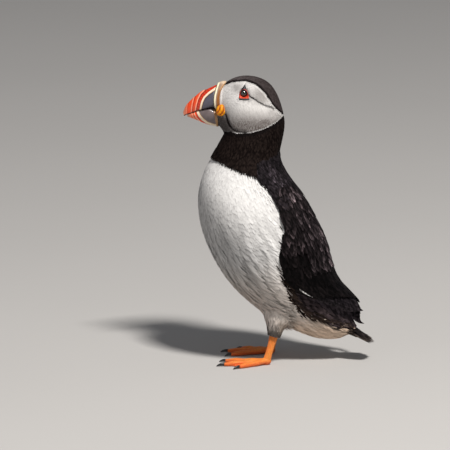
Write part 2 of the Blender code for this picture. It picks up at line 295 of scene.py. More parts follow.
def from_world(points: Array) -> Array:
    """Moves points from the world in metres to the bird's frame in millimetres."""
    return np.asarray(points, float) / MM + MIDDLE


def add_object(name: str, mesh: Mesh) -> bpy.types.Object:
    """Links a mesh to the scene.

    Args:
        name: The object's name.
        mesh: Its mesh.

    Returns:
        The object.
    """
    item = bpy.data.objects.new(name, mesh)
    bpy.context.scene.collection.objects.link(item)
    return item


def drop(item: bpy.types.Object) -> None:
    """Removes an object's mesh, and the object with it."""
    bpy.data.meshes.remove(item.data)


def new_mesh(name: str, points: Array, faces: Sequence) -> Mesh:
    """Makes a smooth mesh from points in the bird's frame.

    Args:
        name: The mesh's name.
        points: N rows of three coordinates, in millimetres.
        faces: Rows of point numbers.

    Returns:
        The mesh, in metres.
    """
    mesh = bpy.data.meshes.new(name)
    faces = faces.tolist() if isinstance(faces, Array) else faces
    mesh.from_pydata(to_world(points).tolist(), [], faces)
    mesh.shade_smooth()
    return mesh


def read(data: Sequence, key: str, width: int = 3) -> Array:
    """Reads numbers from a mesh's points, faces or attribute.

    Args:
        data: The points, the faces or the attribute's rows.
        key: What the numbers are called there.
        width: How many each row has.

    Returns:
        N rows, or N numbers if width is 1.
    """
    flat = np.empty(len(data) * width, np.float32)
    data.foreach_get(key, flat)
    return flat.reshape(-1, width) if width > 1 else flat


def mesh_points(mesh: Mesh) -> Array:
    """The mesh's points in the bird's frame, in millimetres."""
    return from_world(read(mesh.vertices, "co"))


def store(mesh: Mesh, name: str, values: Array) -> None:
    """Writes an attribute.

    Args:
        mesh: The mesh that carries it.
        name: The attribute's name.
        values: A number or a vector for each point, or a pair for each corner, or a colour with its alpha.
    """
    width = values.shape[1] if values.ndim > 1 else 1
    kind, key = KINDS[width]
    layer = mesh.attributes.get(name) or mesh.attributes.new(name, kind, "CORNER" if width == 2 else "POINT")
    layer.data.foreach_set(key, np.ascontiguousarray(values, np.float32).ravel())


def paint(mesh: Mesh, colours: Array) -> None:
    """Writes the colour of each point."""
    store(mesh, "marking", np.concatenate((colours, np.ones((len(colours), 1))), axis=1))


def grid_faces(rows: int, columns: int, wrap: bool = False) -> Array:
    """Quads of a grid of points, row after row.

    Args:
        rows: How many rows.
        columns: How many points in each.
        wrap: Whether its columns close round.

    Returns:
        Rows of four point numbers.
    """
    row, column = np.meshgrid(np.arange(rows - 1), np.arange(columns if wrap else columns - 1), indexing="ij")
    low, high = row * columns, (row + 1) * columns
    after = (column + 1) % columns
    return np.stack((low + column, low + after, high + after, high + column), axis=-1).reshape(-1, 4)


def closed_loft(name: str, sections: Array) -> Mesh:
    """A closed mesh through rings of points, its ends drawn to a middle point, facing out.

    Args:
        name: The mesh's name.
        sections: Rings by points by three coordinates.

    Returns:
        The mesh.
    """
    rings, sides = sections.shape[:2]
    ends = np.stack((sections[0].mean(0), sections[-1].mean(0)))
    faces = grid_faces(rings, sides, True).tolist()
    last = (rings - 1) * sides
    for step in range(sides):
        after = (step + 1) % sides
        faces += [[after, step, rings * sides], [last + step, last + after, rings * sides + 1]]
    mesh = new_mesh(name, np.concatenate((sections.reshape(-1, 3), ends)), faces)
    face_out(mesh)
    return mesh


def face_out(mesh: Mesh) -> None:
    """Turns a closed mesh's faces outwards.

    Args:
        mesh: The mesh, which is also shaded smooth.
    """
    shape = bmesh.new()
    shape.from_mesh(mesh)
    bmesh.ops.recalc_face_normals(shape, faces=shape.faces)
    if shape.calc_volume(signed=True) < 0.0:
        bmesh.ops.reverse_faces(shape, faces=shape.faces)
    shape.to_mesh(mesh)
    shape.free()
    mesh.shade_smooth()


def tube_sections(path: Array, radii: Array, sides: int, flat: float = 1.0) -> Array:
    """Rings of a tube along a path.

    Args:
        path: Rows of points.
        radii: A radius for each point.
        sides: Points in each ring.
        flat: How much wider than high the tube is.

    Returns:
        Rings by points by three coordinates.
    """
    along = unit(np.gradient(path, axis=0))
    sideways = unit(np.cross(np.cross(along, (0.0, 1.0, 0.0)), along))
    up = np.cross(along, sideways)
    turns = circle(sides)[None, :, None]
    ring = up[:, None] * np.cos(turns) + sideways[:, None] * np.sin(turns) * flat
    return path[:, None] + radii[:, None, None] * ring


def plain(item: bpy.types.Object, name: str) -> Mesh:
    """Runs an object's modifiers.

    Args:
        item: The object.
        name: The name of what comes out.

    Returns:
        The plain mesh that the modifiers give.
    """
    graph = bpy.context.evaluated_depsgraph_get()
    found = item.evaluated_get(graph)
    mesh = bpy.data.meshes.new_from_object(found, preserve_all_data_layers=True, depsgraph=graph)
    mesh.name = name
    return mesh


def voxel_join(name: str, meshes: Sequence[Mesh], voxel: float, smooth: int) -> Mesh:
    """Melts closed meshes that overlap into one surface.

    Args:
        name: The result's name.
        meshes: The meshes, which are used up.
        voxel: The size of the voxels, in millimetres.
        smooth: How often the surface is smoothed.

    Returns:
        The surface.
    """
    shape = bmesh.new()
    for mesh in meshes:
        shape.from_mesh(mesh)
        bpy.data.meshes.remove(mesh)
    joined = bpy.data.meshes.new(f"{name}_raw")
    shape.to_mesh(joined)
    shape.free()
    carrier = add_object(f"{name}_carrier", joined)
    remesh = carrier.modifiers.new("melt", "REMESH")
    remesh.mode = "VOXEL"
    remesh.voxel_size = voxel * MM
    soften = carrier.modifiers.new("soften", "SMOOTH")
    soften.factor = 0.5
    soften.iterations = smooth
    result = plain(carrier, name)
    drop(carrier)
    result.shade_smooth()
    return result


def finished(name: str, mesh: Mesh, finish: Finish, *nodes: str) -> bpy.types.Object:
    """Adds a finished piece to the bird and reports it.

    Args:
        name: The piece's name.
        mesh: Its mesh, in its place.
        finish: Its finish, which the mesh takes unless it has one.
        nodes: The CAD nodes that it stands for.

    Returns:
        The piece.
    """
    if not mesh.materials:
        mesh.materials.append(finish.material())
    item = add_object(name, mesh)
    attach(item, BODY_NAME)
    if nodes:
        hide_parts(*nodes)
    LOG.info("%s: %d faces", name, len(mesh.polygons))
    return item


# ---------------------------------------------------------------- node trees


class Wire:
    """A number in a node tree, as a node's output, with arithmetic that adds Math nodes."""

    def __init__(self, graph: Graph, socket: Socket) -> None:
        """Wraps a socket of a graph."""
        self.graph = graph
        self.socket = socket

    def math(self, operation: str, *values: Wire | Socket | float) -> Wire:
        """Adds a Math node with this wire first."""
        inputs = dict(enumerate((self, *values)))
        return self.graph.wired("ShaderNodeMath", 0, inputs, operation=operation)

    def flipped(self, operation: str, value: float) -> Wire:
        """Adds a Math node with this wire second."""
        return self.graph.wired("ShaderNodeMath", 0, {0: value, 1: self}, operation=operation)

    def __add__(self, other: Wire | float) -> Wire:
        """Adds."""
        return self.math("ADD", other)

    def __sub__(self, other: Wire | float) -> Wire:
        """Takes away."""
        return self.math("SUBTRACT", other)

    def __mul__(self, other: Wire | Socket | float) -> Wire:
        """Multiplies."""
        return self.math("MULTIPLY", other)

    def __rsub__(self, other: float) -> Wire:
        """Takes this away from a number."""
        return self.flipped("SUBTRACT", other)

    __radd__ = __add__
    __rmul__ = __mul__

    def between(self, low: float, high: float) -> Wire:
        """0 below low, 1 above high, and eased between."""
        inputs = {"Value": self, "From Min": low, "From Max": high}
        return self.graph.wired("ShaderNodeMapRange", 0, inputs, interpolation_type="SMOOTHSTEP")


class Graph:
    """A node tree that is being built."""

    def __init__(self, tree: bpy.types.NodeTree) -> None:
        """Wraps an empty tree."""
        self.tree = tree

    def node(self, kind: str, settings: dict, inputs: dict) -> bpy.types.Node:
        """Adds a node.

        Args:
            kind: The node's type.
            settings: Its properties, set first.
            inputs: Values, wires or sockets for its inputs, by name or number.

        Returns:
            The node.
        """
        made = self.tree.nodes.new(kind)
        for key, value in settings.items():
            setattr(made, key, value)
        for key, value in inputs.items():
            socket = made.inputs[key] if isinstance(key, int) else self.pick(made.inputs, key)
            if isinstance(value, Wire):
                value = value.socket
            if isinstance(value, Socket):
                self.tree.links.new(value, socket)
            else:
                socket.default_value = value
        return made

    @staticmethod
    def pick(sockets: Sequence[Socket], name: str) -> Socket:
        """The socket in use that has a name."""
        return next(socket for socket in sockets if socket.name == name and socket.enabled)

    def out(self, made: bpy.types.Node, name: str) -> Socket:
        """A node's output in use by name."""
        return self.pick(made.outputs, name)

    def wire(self, made: bpy.types.Node, name: str) -> Wire:
        """A node's output by name, ready for arithmetic."""
        return Wire(self, self.out(made, name))

    def pipe(self, kind: str, output: str | int, inputs: dict, **settings: object) -> Socket:
        """Adds a node of which one output is wanted.

        Args:
            kind: The node's type.
            output: The output's name or number.
            inputs: Values, wires or sockets for its inputs, by name or number.
            settings: Its properties.

        Returns:
            The output.
        """
        made = self.node(kind, settings, inputs)
        return made.outputs[output] if isinstance(output, int) else self.out(made, output)

    def wired(self, kind: str, output: str | int, inputs: dict, **settings: object) -> Wire:
        """Adds a node as pipe does, and readies its output for arithmetic."""
        return Wire(self, self.pipe(kind, output, inputs, **settings))

    def painted(self, name: str, output: str = "Color") -> Socket:
        """Reads one of the mesh's attributes in a shader."""
        return self.pipe("ShaderNodeAttribute", output, {}, attribute_name=name)

    def place(self) -> Socket:
        """The object's own coordinates in a shader."""
        return self.pipe("ShaderNodeTexCoord", "Object", {})

    def noise(self, scale: float, detail: float = 2.0, size: tuple | None = None, lean: float = 0.0) -> Wire:
        """Noise on the object's own coordinates.

        Args:
            scale: Grains in a metre.
            detail: Octaves.
            size: How long each grain is along the three axes.
            lean: How far those axes are turned about Y.

        Returns:
            The noise, about 0.5.
        """
        place = self.place()
        if size:
            inputs = {"Vector": place, "Rotation": (0.0, lean, 0.0), "Scale": size}
            place = self.pipe("ShaderNodeMapping", "Vector", inputs, vector_type="TEXTURE")
        return self.wired("ShaderNodeTexNoise", 0, {"Vector": place, "Scale": scale, "Detail": detail})

    def shaded(self, colour: object, amount: Wire) -> Socket:
        """Multiplies a colour by a number."""
        return self.pipe("ShaderNodeVectorMath", 0, {0: colour, "Scale": amount}, operation="SCALE")

    def bump(self, height: Wire, distance: float, strength: float) -> Socket:
        """A normal from a height, of a distance in millimetres."""
        inputs = {"Height": height, "Distance": distance * MM, "Strength": strength}
        return self.pipe("ShaderNodeBump", "Normal", inputs)


# ---------------------------------------------------------------- finishes


@dataclass(frozen=True)
class Finish:
    """A surface's look. The colour is the one painted on the piece, unless flat is set."""

    name: str
    slot: str
    roughness: float = 0.5
    flat: tuple[float, float, float] | None = None
    specular: float = 0.5
    coat: float = 0.0

    def material(self) -> bpy.types.Material:
        """Builds the material, or finds it if it is there.

        Returns:
            The material.
        """
        if self.name in bpy.data.materials:
            return bpy.data.materials[self.name]
        made = bpy.data.materials.new(self.name)
        made.use_nodes = True
        made.node_tree.nodes.clear()
        graph = Graph(made.node_tree)
        inputs = {"Roughness": self.roughness, "Specular IOR Level": self.specular, "Coat Weight": self.coat}
        shader = graph.pipe("ShaderNodeBsdfPrincipled", 0, {**inputs, **self.dress(graph)})
        graph.node("ShaderNodeOutputMaterial", {}, {0: shader})
        return made

    def toned(self, graph: Graph, amount: Wire) -> Socket:
        """The surface's colour, multiplied by a number."""
        return graph.shaded(self.flat or graph.painted("marking"), amount)

    def dress(self, graph: Graph) -> Feeds:
        """The finish's own pattern.

        Args:
            graph: The material's node tree.

        Returns:
            What to feed the shader's inputs, by name.
        """
        raise NotImplementedError


@dataclass(frozen=True)
class Plumage(Finish):
    """Small feathers: soft, with hairs along the body and a shade of each one's own."""

    lean: float = -0.42

    def dress(self, graph: Graph) -> Feeds:
        """Varies each feather by its own chance, and darkens it towards its root as painted shade under the
        feathers over it.

        Args:
            graph: The material's node tree.

        Returns:
            What to feed the shader's inputs, by name.
        """
        own = Wire(graph, graph.painted("chance", "Fac"))
        tip = Wire(graph, graph.painted("tip", "Fac"))
        hairs = graph.noise(1000.0, 3.0, (1.0, 1.0, 14.0), self.lean) * 0.5 + 0.75
        # Darker towards the root: painted shade.
        return {"Base Color": self.toned(graph, (own * 0.2 + 0.88) * (tip * 0.24 + 0.84) * hairs)}


@dataclass(frozen=True)
class Vane(Finish):
    """Large feathers: a dark shaft, slanting barbs and blotches along the body."""

    barbs: float = 110.0
    lean: float = -0.42

    def dress(self, graph: Graph) -> Feeds:
        """Draws shaft, barbs and blotches.

        Args:
            graph: The material's node tree.

        Returns:
            What to feed the shader's inputs, by name.
        """
        parts = graph.node("ShaderNodeSeparateXYZ", {}, {0: graph.painted("blade", "Vector")})
        reach = graph.wire(parts, "X").math("ABSOLUTE")
        lines = ((graph.wire(parts, "Y") - reach * 0.35) * self.barbs + graph.noise(500.0) * 1.5).math("SINE")
        shaft = 1.0 - reach.between(0.02, 0.1)
        blotch = graph.noise(1000.0, 3.0, (1.9, 1.9, 4.5), self.lean).between(0.4, 0.6) * 1.25 + 0.35
        return {
            "Base Color": self.toned(graph, (lines * 0.09 + 0.96) * (1.0 - shaft * 0.45) * blotch),
            "Normal": graph.bump(lines * 0.4 + shaft * 1.2, 0.09, 0.6),
        }


@dataclass(frozen=True)
class Horn(Finish):
    """Bill and claws: satin horn with faint growth lines."""

    lines: float = 1.0

    def dress(self, graph: Graph) -> Feeds:
        """Adds growth lines, scratches and a little dirt.

        Args:
            graph: The material's node tree.

        Returns:
            What to feed the shader's inputs, by name.
        """
        grain = graph.noise(420.0, 4.0, (1.0, 1.0, 2.9))
        fine = graph.noise(2600.0, 2.0, (2.9, 1.0, 1.0))
        return {
            "Base Color": self.toned(graph, grain * 0.36 + 0.8),
            "Roughness": grain * 0.22 + (self.roughness - 0.1),
            "Normal": graph.bump(fine * 0.5 + grain, 0.12 * self.lines, 0.5),
        }


@dataclass(frozen=True)
class Flesh(Finish):
    """Bare skin of legs, rosettes and eye rims: soft, creased and slightly deep."""

    depth: float = 0.12
    crease: float = 0.25
    grain: float = 1500.0
    cells: float = 0.28

    def dress(self, graph: Graph) -> Feeds:
        """Adds small scales and creases.

        Args:
            graph: The material's node tree.

        Returns:
            What to feed the shader's inputs, by name.
        """
        inputs = {"Vector": graph.place(), "Scale": self.grain}
        cells = graph.pipe("ShaderNodeTexVoronoi", "Distance", inputs, feature="DISTANCE_TO_EDGE")
        rim = Wire(graph, cells).between(0.02, 0.16)
        mottle = graph.noise(450.0, 3.0)
        return {
            "Base Color": self.toned(graph, (rim * self.cells + (1.04 - self.cells)) * (mottle * 0.4 + 0.8)),
            "Roughness": rim * -0.12 + (self.roughness + 0.08),
            "Normal": graph.bump(rim + mottle * 0.6, self.crease, 0.7),
            "Subsurface Weight": self.depth,
            "Subsurface Scale": 0.002,
            "Subsurface Radius": (1.0, 0.35, 0.15),
        }


@dataclass(frozen=True)
class Wet(Finish):
    """The eye: a dark glossy ball."""

    def dress(self, graph: Graph) -> Feeds:
        """Takes iris and pupil as they are painted."""
        return {"Base Color": graph.painted("marking"), "Coat Roughness": 0.03}


@dataclass(frozen=True)
class Paper(Finish):
    """The studio floor: pale and matte."""

    def dress(self, graph: Graph) -> Feeds:
        """Adds the faintest unevenness."""
        return {"Base Color": self.toned(graph, graph.noise(3.0) * 0.04 + 0.98)}


COAT = Plumage("small_feathers", "plumage", 0.8, specular=0.025)
SKIN = Plumage("skin_under_feathers", "plumage", 0.85, specular=0.02)
QUILLED = Vane("large_feathers", "plumage", 0.5, specular=0.045)
BILL_HORN = Horn("bill_horn", "bill", 0.36, specular=0.45, coat=0.12)
CLAW_HORN = Horn("claw_horn", "claw", 0.34, (0.016, 0.015, 0.016), coat=0.1)
LEG_SKIN = Flesh("leg_skin", "leg", 0.46, specular=0.45)
ROSE_SKIN = Flesh(
    "rosette_skin", "rosette", 0.42, specular=0.35, depth=0.15, crease=0.05, grain=1700.0, cells=0.06,
)
RIM_SKIN = Flesh("eye_rim_skin", "rosette", 0.45, depth=0.05, crease=0.03, grain=3500.0, cells=0.12)
PLATE_HORN = Horn("eye_plate_horn", "bill", 0.6, specular=0.3, lines=0.6)
EYEBALL = Wet("eyeball", "eye", 0.06, specular=0.6, coat=1.0)
FLOOR_PAPER = Paper("floor_paper", "stage", 0.85, (0.5, 0.49, 0.48), specular=0.2)


# ---------------------------------------------------------------- the bird's form and markings


@dataclass(frozen=True)
class Station:
    """A cross-section of the body, from its belly side to its back in the plane of symmetry."""

    ventral: tuple[float, float]
    dorsal: tuple[float, float]
    half_breadth: float
    egg: float = 0.0
    wing_back: float = 0.0
    wing_side: float = 0.0
    coat: float = 2.0


@dataclass(frozen=True)
class BodyForm:
    """The body's surface at the feathers' tips: places run from the bill's base to the tail, turns round it.

    A turn is an angle from the back, 0, over the bird's right to the belly, pi, and back on its left.
    """

    stations: tuple[Station, ...] = (
        Station((-53.2, 208.2), (-50.0, 245.4), 9.5, 0.05, coat=0.35),
        Station((-50.6, 204.4), (-40.5, 251.0), 15.5, 0.08, coat=0.45),
        Station((-49.4, 201.0), (-26.5, 252.8), 20.5, 0.08, coat=0.5),
        Station((-51.2, 197.2), (-9.2, 245.6), 22.8, 0.06, coat=0.6),
        Station((-54.2, 192.4), (0.6, 227.0), 23.5, 0.0, coat=0.8),
        Station((-59.0, 184.0), (3.4, 208.5), 24.5, 0.0, coat=1.0),
        Station((-63.8, 175.0), (0.0, 190.0), 27.5, 0.0, coat=1.2),
        Station((-68.2, 165.0), (-0.4, 177.5), 32.0, 0.0, 0.7, 0.7, coat=1.3),
        Station((-71.6, 153.2), (5.2, 165.0), 37.5, 0.0, 1.0, 1.2, coat=1.4),
        Station((-72.4, 139.4), (13.2, 151.0), 42.0, 0.02, 1.2, 2.6, coat=1.4),
        Station((-69.2, 118.6), (26.4, 127.2), 45.5, 0.04, 1.4, 3.8, coat=1.4),
        Station((-61.1, 97.5), (35.9, 104.6), 44.5, 0.06, 1.9, 4.6, coat=1.5),
        Station((-49.4, 76.6), (39.4, 88.0), 40.5, 0.08, 2.8, 4.6, coat=1.5),
        Station((-33.4, 58.4), (43.6, 72.2), 34.5, 0.06, 4.8, 4.2, coat=1.5),
        Station((-13.6, 42.2), (49.4, 60.4), 27.5, 0.0, 7.6, 4.0, coat=1.5),
        Station((9.6, 28.8), (54.6, 49.8), 21.5, 0.0, 10.8, 3.6, coat=1.4),
        Station((32.0, 20.4), (60.2, 41.0), 16.0, 0.0, 13.0, 2.4, coat=1.3),
        Station((50.5, 20.2), (64.8, 33.8), 10.5, 0.0, 13.6, 1.4, coat=1.2),
        Station((59.5, 23.4), (67.2, 29.6), 6.0, 0.0, 13.0, 1.6, coat=1.0),
        Station((68.0, 16.5), (77.0, 25.0), 6.0, 0.0, 11.0, 1.8, coat=0.9),
    )

    def rows(self, places: Array) -> Array:
        """Reads the stations' numbers.

        Args:
            places: Where along the body.

        Returns:
            For each place the fields of Station in their order, points as two numbers each.
        """
        sizes = [(s.half_breadth, s.egg, s.wing_back, s.wing_side, s.coat) for s in self.stations]
        return spline([(*s.ventral, *s.dorsal, *size) for s, size in zip(self.stations, sizes)], places)

    def coat(self, places: Array) -> Array:
        """How deep the coat of small feathers is."""
        return self.rows(places)[..., -1]

    def surface(self, places: Array, turns: Array, inwards: Amount = 0.0, winged: Amount = 0.0) -> Array:
        """Points of the surface.

        Args:
            places: Where along the body.
            turns: The angle round it, one for each place.
            inwards: How far inside the feathers' tips.
            winged: How much of the folded wings' height to add, from 0 to 1.

        Returns:
            A point for each place.
        """
        vx, vz, dx, dz, breadth, egg, back, side, _ = np.moveaxis(self.rows(places), -1, 0)
        length = np.hypot(dx - vx, dz - vz)
        ux, uz = (dx - vx) / length, (dz - vz) / length
        vx, vz = vx + ux * inwards, vz + uz * inwards
        back, side = back * winged, side * winged
        dx, dz = dx - ux * (inwards - back), dz - uz * (inwards - back)
        cos, sin = np.cos(turns), np.sin(turns)
        x = (vx + dx) / 2.0 + (dx - vx) / 2.0 * cos
        z = (vz + dz) / 2.0 + (dz - vz) / 2.0 * cos
        y = (breadth + side - inwards) * sin * (1.0 - egg * cos)
        return np.stack((x, y, z), axis=-1)

    def outward(self, places: Array, turns: Array, winged: Amount = 0.0) -> Array:
        """The way out of the surface.

        Args:
            places: Where along the body.
            turns: The angle round it, one for each place.
            winged: How much of the folded wings' height counts, from 0 to 1.

        Returns:
            A direction for each place.
        """
        step = 0.02
        before, after = (self.surface(places + move, turns, 0.0, winged) for move in (-step, step))
        left, right = (self.surface(places, turns + move, 0.0, winged) for move in (-step, step))
        return unit(np.cross(after - before, right - left))


@dataclass(frozen=True)
class Markings:
    """Where each colour of the plumage lies, in the plane of symmetry, and the colours themselves."""

    white: tuple = (0.84, 0.83, 0.82)
    # Warm tint of the lower belly: partly the feathers' own tint, partly painted shade.
    belly_tint: tuple = (0.80, 0.71, 0.635)
    # Tan round the vent: painted shade on white feathers.
    vent_tint: tuple = (0.74, 0.57, 0.44)
    cheek: tuple = (0.73, 0.71, 0.695)
    # Grey of the lower face: partly its own grey, partly painted shade.
    cheek_grey: tuple = (0.115, 0.098, 0.092)
    chin: tuple = (0.07, 0.061, 0.059)
    crown: tuple = (0.031, 0.024, 0.024)
    # Painted sheen of the crown, strongest on the forehead.
    crown_light: tuple = (0.105, 0.088, 0.089)
    collar: tuple = (0.005, 0.0033, 0.003)
    # Painted sheen of the collar's feathers.
    collar_light: tuple = (0.021, 0.0145, 0.0125)
    black: tuple = (0.0055, 0.0042, 0.0042)
    mantle: tuple = (0.011, 0.0088, 0.0102)
    # Painted sheen of the back's feathers.
    mantle_light: tuple = (0.045, 0.036, 0.042)
    rump: tuple = (0.0065, 0.005, 0.0054)
    # Painted sheen of the rump's feathers.
    rump_light: tuple = (0.055, 0.041, 0.044)
    # Grey patches of the face: partly its own grey, partly painted shade.
    grey_patches: tuple = (
        (-14.0, 216.5, 11.0, 6.0, 0.85), (-18.0, 239.0, 12.0, 8.0, 0.62), (-38.5, 244.0, 5.0, 4.5, 0.52),
        (-31.0, 211.0, 13.0, 5.0, 0.8), (-49.0, 247.0, 5.0, 3.0, 0.5), (-9.0, 224.0, 5.0, 4.0, 0.45),
    )
    cheek_outline: tuple = (
        (-54.5, 240.0), (-51.0, 243.4), (-47.5, 245.0), (-41.4, 247.6), (-31.8, 249.0), (-26.0, 247.8),
        (-20.1, 244.9), (-14.3, 239.4), (-8.4, 230.9), (-2.8, 224.0), (2.2, 219.0), (-5.3, 214.4),
        (-14.3, 210.3), (-24.0, 207.7), (-31.0, 206.4), (-38.7, 206.2), (-43.5, 207.2), (-49.0, 205.4),
        (-57.0, 207.0), (-58.0, 225.0),
    )
    white_outline: tuple = (
        (-90.0, 181.0), (-64.0, 181.0), (-51.1, 179.5), (-41.2, 175.5), (-23.1, 169.0), (-10.4, 156.2),
        (-3.1, 144.2), (2.3, 129.9), (-0.6, 115.4), (-2.6, 98.9), (0.5, 81.6), (5.9, 61.7), (13.8, 50.6),
        (24.3, 45.0), (39.5, 36.5), (53.2, 31.5), (61.9, 25.5), (75.0, 20.0), (75.0, -20.0), (-90.0, -20.0),
    )
    front_edge: tuple = (
        (202.0, -53.6), (206.0, -54.2), (209.0, -54.6), (216.0, -54.9), (222.0, -54.3), (229.3, -53.5),
        (234.4, -53.9), (240.0, -52.8), (243.0, -51.4), (246.0, -49.4), (249.0, -46.8),
    )
    chin_crease: tuple = (
        (-48.2, 221.5), (-47.0, 217.5), (-45.2, 213.4), (-41.6, 209.6), (-36.0, 207.6), (-30.0, 207.2),
    )
    eye_crease: tuple = ((-28.6, 238.2), (-26.0, 236.9), (-18.2, 233.0), (-9.1, 228.8), (-6.9, 227.0))

    def cheek_depth(self, points: Array) -> Array:
        """How far inside the pale face a point is."""
        return outline_distance(points[:, (0, 2)], self.cheek_outline)

    def front(self, height: Array) -> Array:
        """How far forward the feathers reach over the bill's base at a height."""
        return np.interp(height, *np.transpose(self.front_edge))

    def white_depth(self, points: Array) -> Array:
        """How far inside the white breast and belly a point is."""
        return outline_distance(points[:, (0, 2)], self.white_outline)

    def colours(self, points: Array, chance: Array, faced: bool = True) -> Array:
        """The plumage's colour.

        Args:
            points: Places on the skin, in the bird's frame.
            chance: A number from 0 to 1 for each, its feather's own.
            faced: Whether the pale face takes its own colour.

        Returns:
            A colour for each point.
        """
        ragged = np.where(points[:, 2] < 140.0, 2.0, 1.2)
        white = ease(-0.5, 0.5, self.white_depth(points) + (chance - 0.5) * ragged)
        depth = self.cheek_depth(points)
        line = ease(-2.1, -1.5, depth) * ease(196.0, 206.0, points[:, 2])
        colour = layered(self.dark(points, chance), (self.pale(points), white), (self.black, line * 0.85))
        return blend(colour, self.face(points, chance), ease(-0.5, -0.4, depth)) if faced else colour

    def dark(self, points: Array, chance: Array) -> Array:
        """The colour of the dark parts: crown, collar, back and rump, with painted sheen on some feathers and
        a painted highlight on the forehead.

        Args:
            points: Places on the skin.
            chance: A number from 0 to 1 for each.

        Returns:
            A colour for each point.
        """
        x, _, z = points.T
        # Some feathers, at random, take a painted sheen.
        sheen_share = chance**2.5
        # The crown lightens towards the forehead: a painted highlight.
        light = ease(-14.0, -44.0, x) * 0.7 + sheen_share * 0.3
        upper = (1.0 - ease(160.0, 184.0, z)) * ease(-14.0, 2.0, x)
        low = ease(0.0, 9.0, 72.0 - z - np.maximum(x - 12.0, 0.0) * 0.55)
        low = np.maximum(low, ease(-9.0, -1.0, self.white_depth(points)) * ease(140.0, 110.0, z))
        return layered(
            blend(self.collar, self.collar_light, sheen_share * 0.8),
            (blend(self.crown, self.crown_light, light), ease(212.0, 226.0, z)),
            (blend(self.mantle, self.mantle_light, sheen_share), upper),
            (blend(self.rump, self.rump_light, sheen_share), low),
        )

    def pale(self, points: Array) -> Array:
        """The colour of breast and belly: warmer and darker underneath, partly their own warm tint and partly
        painted shade, with painted shade over the breast's front.

        Args:
            points: Places on the skin.

        Returns:
            A colour for each point.
        """
        x, _, z = points.T
        # shaded: painted shade over the breast's front and lower side.
        shaded = ease(-38.0, -66.0, x + (z - 150.0) * 0.55) * ease(185.0, 150.0, z)
        # Warmer and darker down the belly: partly own tint, partly painted shade.
        pale = blend(self.white, self.belly_tint, ease(110.0, 60.0, z) * 0.8) * (1.0 - 0.35 * shaded[:, None])
        # The vent's tan is painted shade.
        return blend(pale, self.vent_tint, ease(52.0, 30.0, z) * ease(-8.0, 8.0, x))

    def face(self, points: Array, chance: Array) -> Array:
        """The colour of the pale face: grey patches that are partly its own grey and partly painted shade, a
        pale edge that is a painted highlight, a painted shadow in the chin crease and a dark line along the
        eye crease.

        Args:
            points: Places on the skin.
            chance: A number from 0 to 1 for each.

        Returns:
            A colour for each point.
        """
        flat = points[:, (0, 2)]
        x, z = flat.T
        grey = np.zeros(len(points))
        for middle_x, middle_z, wide, high, share in self.grey_patches:
            away = ((x - middle_x) / wide) ** 2 + ((z - middle_z) / high) ** 2
            grey = np.maximum(grey, share * np.exp(-(away**1.3)))
        # Greyer down the face: partly its own grey, partly painted shade under the cheek.
        grey = np.maximum(grey, 0.86 * ease(235.5, 213.5, z + 0.08 * np.abs(x + 30.0)))
        # Less grey near the face's edge: a painted highlight along its raised rim.
        grey = grey * (0.8 + 0.4 * chance) * (0.25 + 0.75 * ease(0.6, 1.7, self.cheek_depth(points)))
        throat = ease(-42.0, -45.5, x - (214.0 - z) * 0.42) * ease(222.5, 217.0, z)
        chin, _ = line_distance(flat, self.chin_crease)
        behind, along = line_distance(flat, self.eye_crease)
        return layered(
            self.cheek, (self.cheek_grey, grey), (self.chin, throat * (0.7 + 0.3 * chance)),
            # A painted shadow along the chin crease.
            (self.black, ease(1.6, 0.4, chin) * 0.92),
            (self.collar, ease(1.15, 0.35, behind) * (1.0 - 0.25 * along)),
        )


FORM = BodyForm()
MARKS = Markings()


@dataclass(frozen=True)
class WingPlan:
    """How the folded wing lies on the form: its lower edge, as angles from the back along the body."""

    places: tuple = (8.1, 8.4, 8.9, 9.5, 10.1, 10.6, 11.2, 11.9, 12.5, 13.2, 14.0, 14.8, 15.8, 16.7)
    angles: tuple = (0.1, 0.66, 0.95, 1.07, 1.16, 1.26, 1.33, 1.38, 1.365, 1.235, 1.075, 0.965, 0.81, 0.6)
    tip_places: tuple = (15.8, 16.3, 16.55, 16.9)
    tip_angles: tuple = (0.81, 0.66, 0.46, 0.24)

    def edge(self, places: Array) -> Array:
        """The lower edge's angle."""
        return np.interp(places, self.places, self.angles, left=0.0, right=0.0)

    def lift(self, places: Array, turns: Array) -> Array:
        """The share of the wing's height that the skin takes: none ahead of its edge and at its free tip."""
        return self.spread(places, turns, 0.0) * (1.0 - ease(14.2, 16.4, places))

    def spread(self, places: Array, turns: Array, margin: float = 0.06) -> Array:
        """The share of the wing's height that the large feathers take, out to their free tips.

        Args:
            places: Where along the body.
            turns: The angle from the back.
            margin: How far the feathers reach past the wing's edge, as an angle.

        Returns:
            A share for each place.
        """
        blunt = np.interp(places, (9.0, 12.0, 14.0), (0.42, 0.3, 0.2))
        return ease(0.0, 1.0, (self.edge(places) + margin - np.abs(turns)) / blunt) * ease(8.0, 9.6, places)

    def turn(self, places: Array, shares: Array) -> Array:
        """The angle from the back at a share of the way from the lower edge, 0, to the upper edge, 1.

        Args:
            places: Where along the body.
            shares: The share of the way at each place.

        Returns:
            The angles.
        """
        known, angles = (*self.places[:-2], *self.tip_places), (*self.angles[:-2], *self.tip_angles)
        low = np.interp(places, known, angles)
        high = np.interp(places, (14.6, 15.8, 16.5), (0.02, 0.09, 0.2))
        return low + (high - low) * shares


WING = WingPlan()


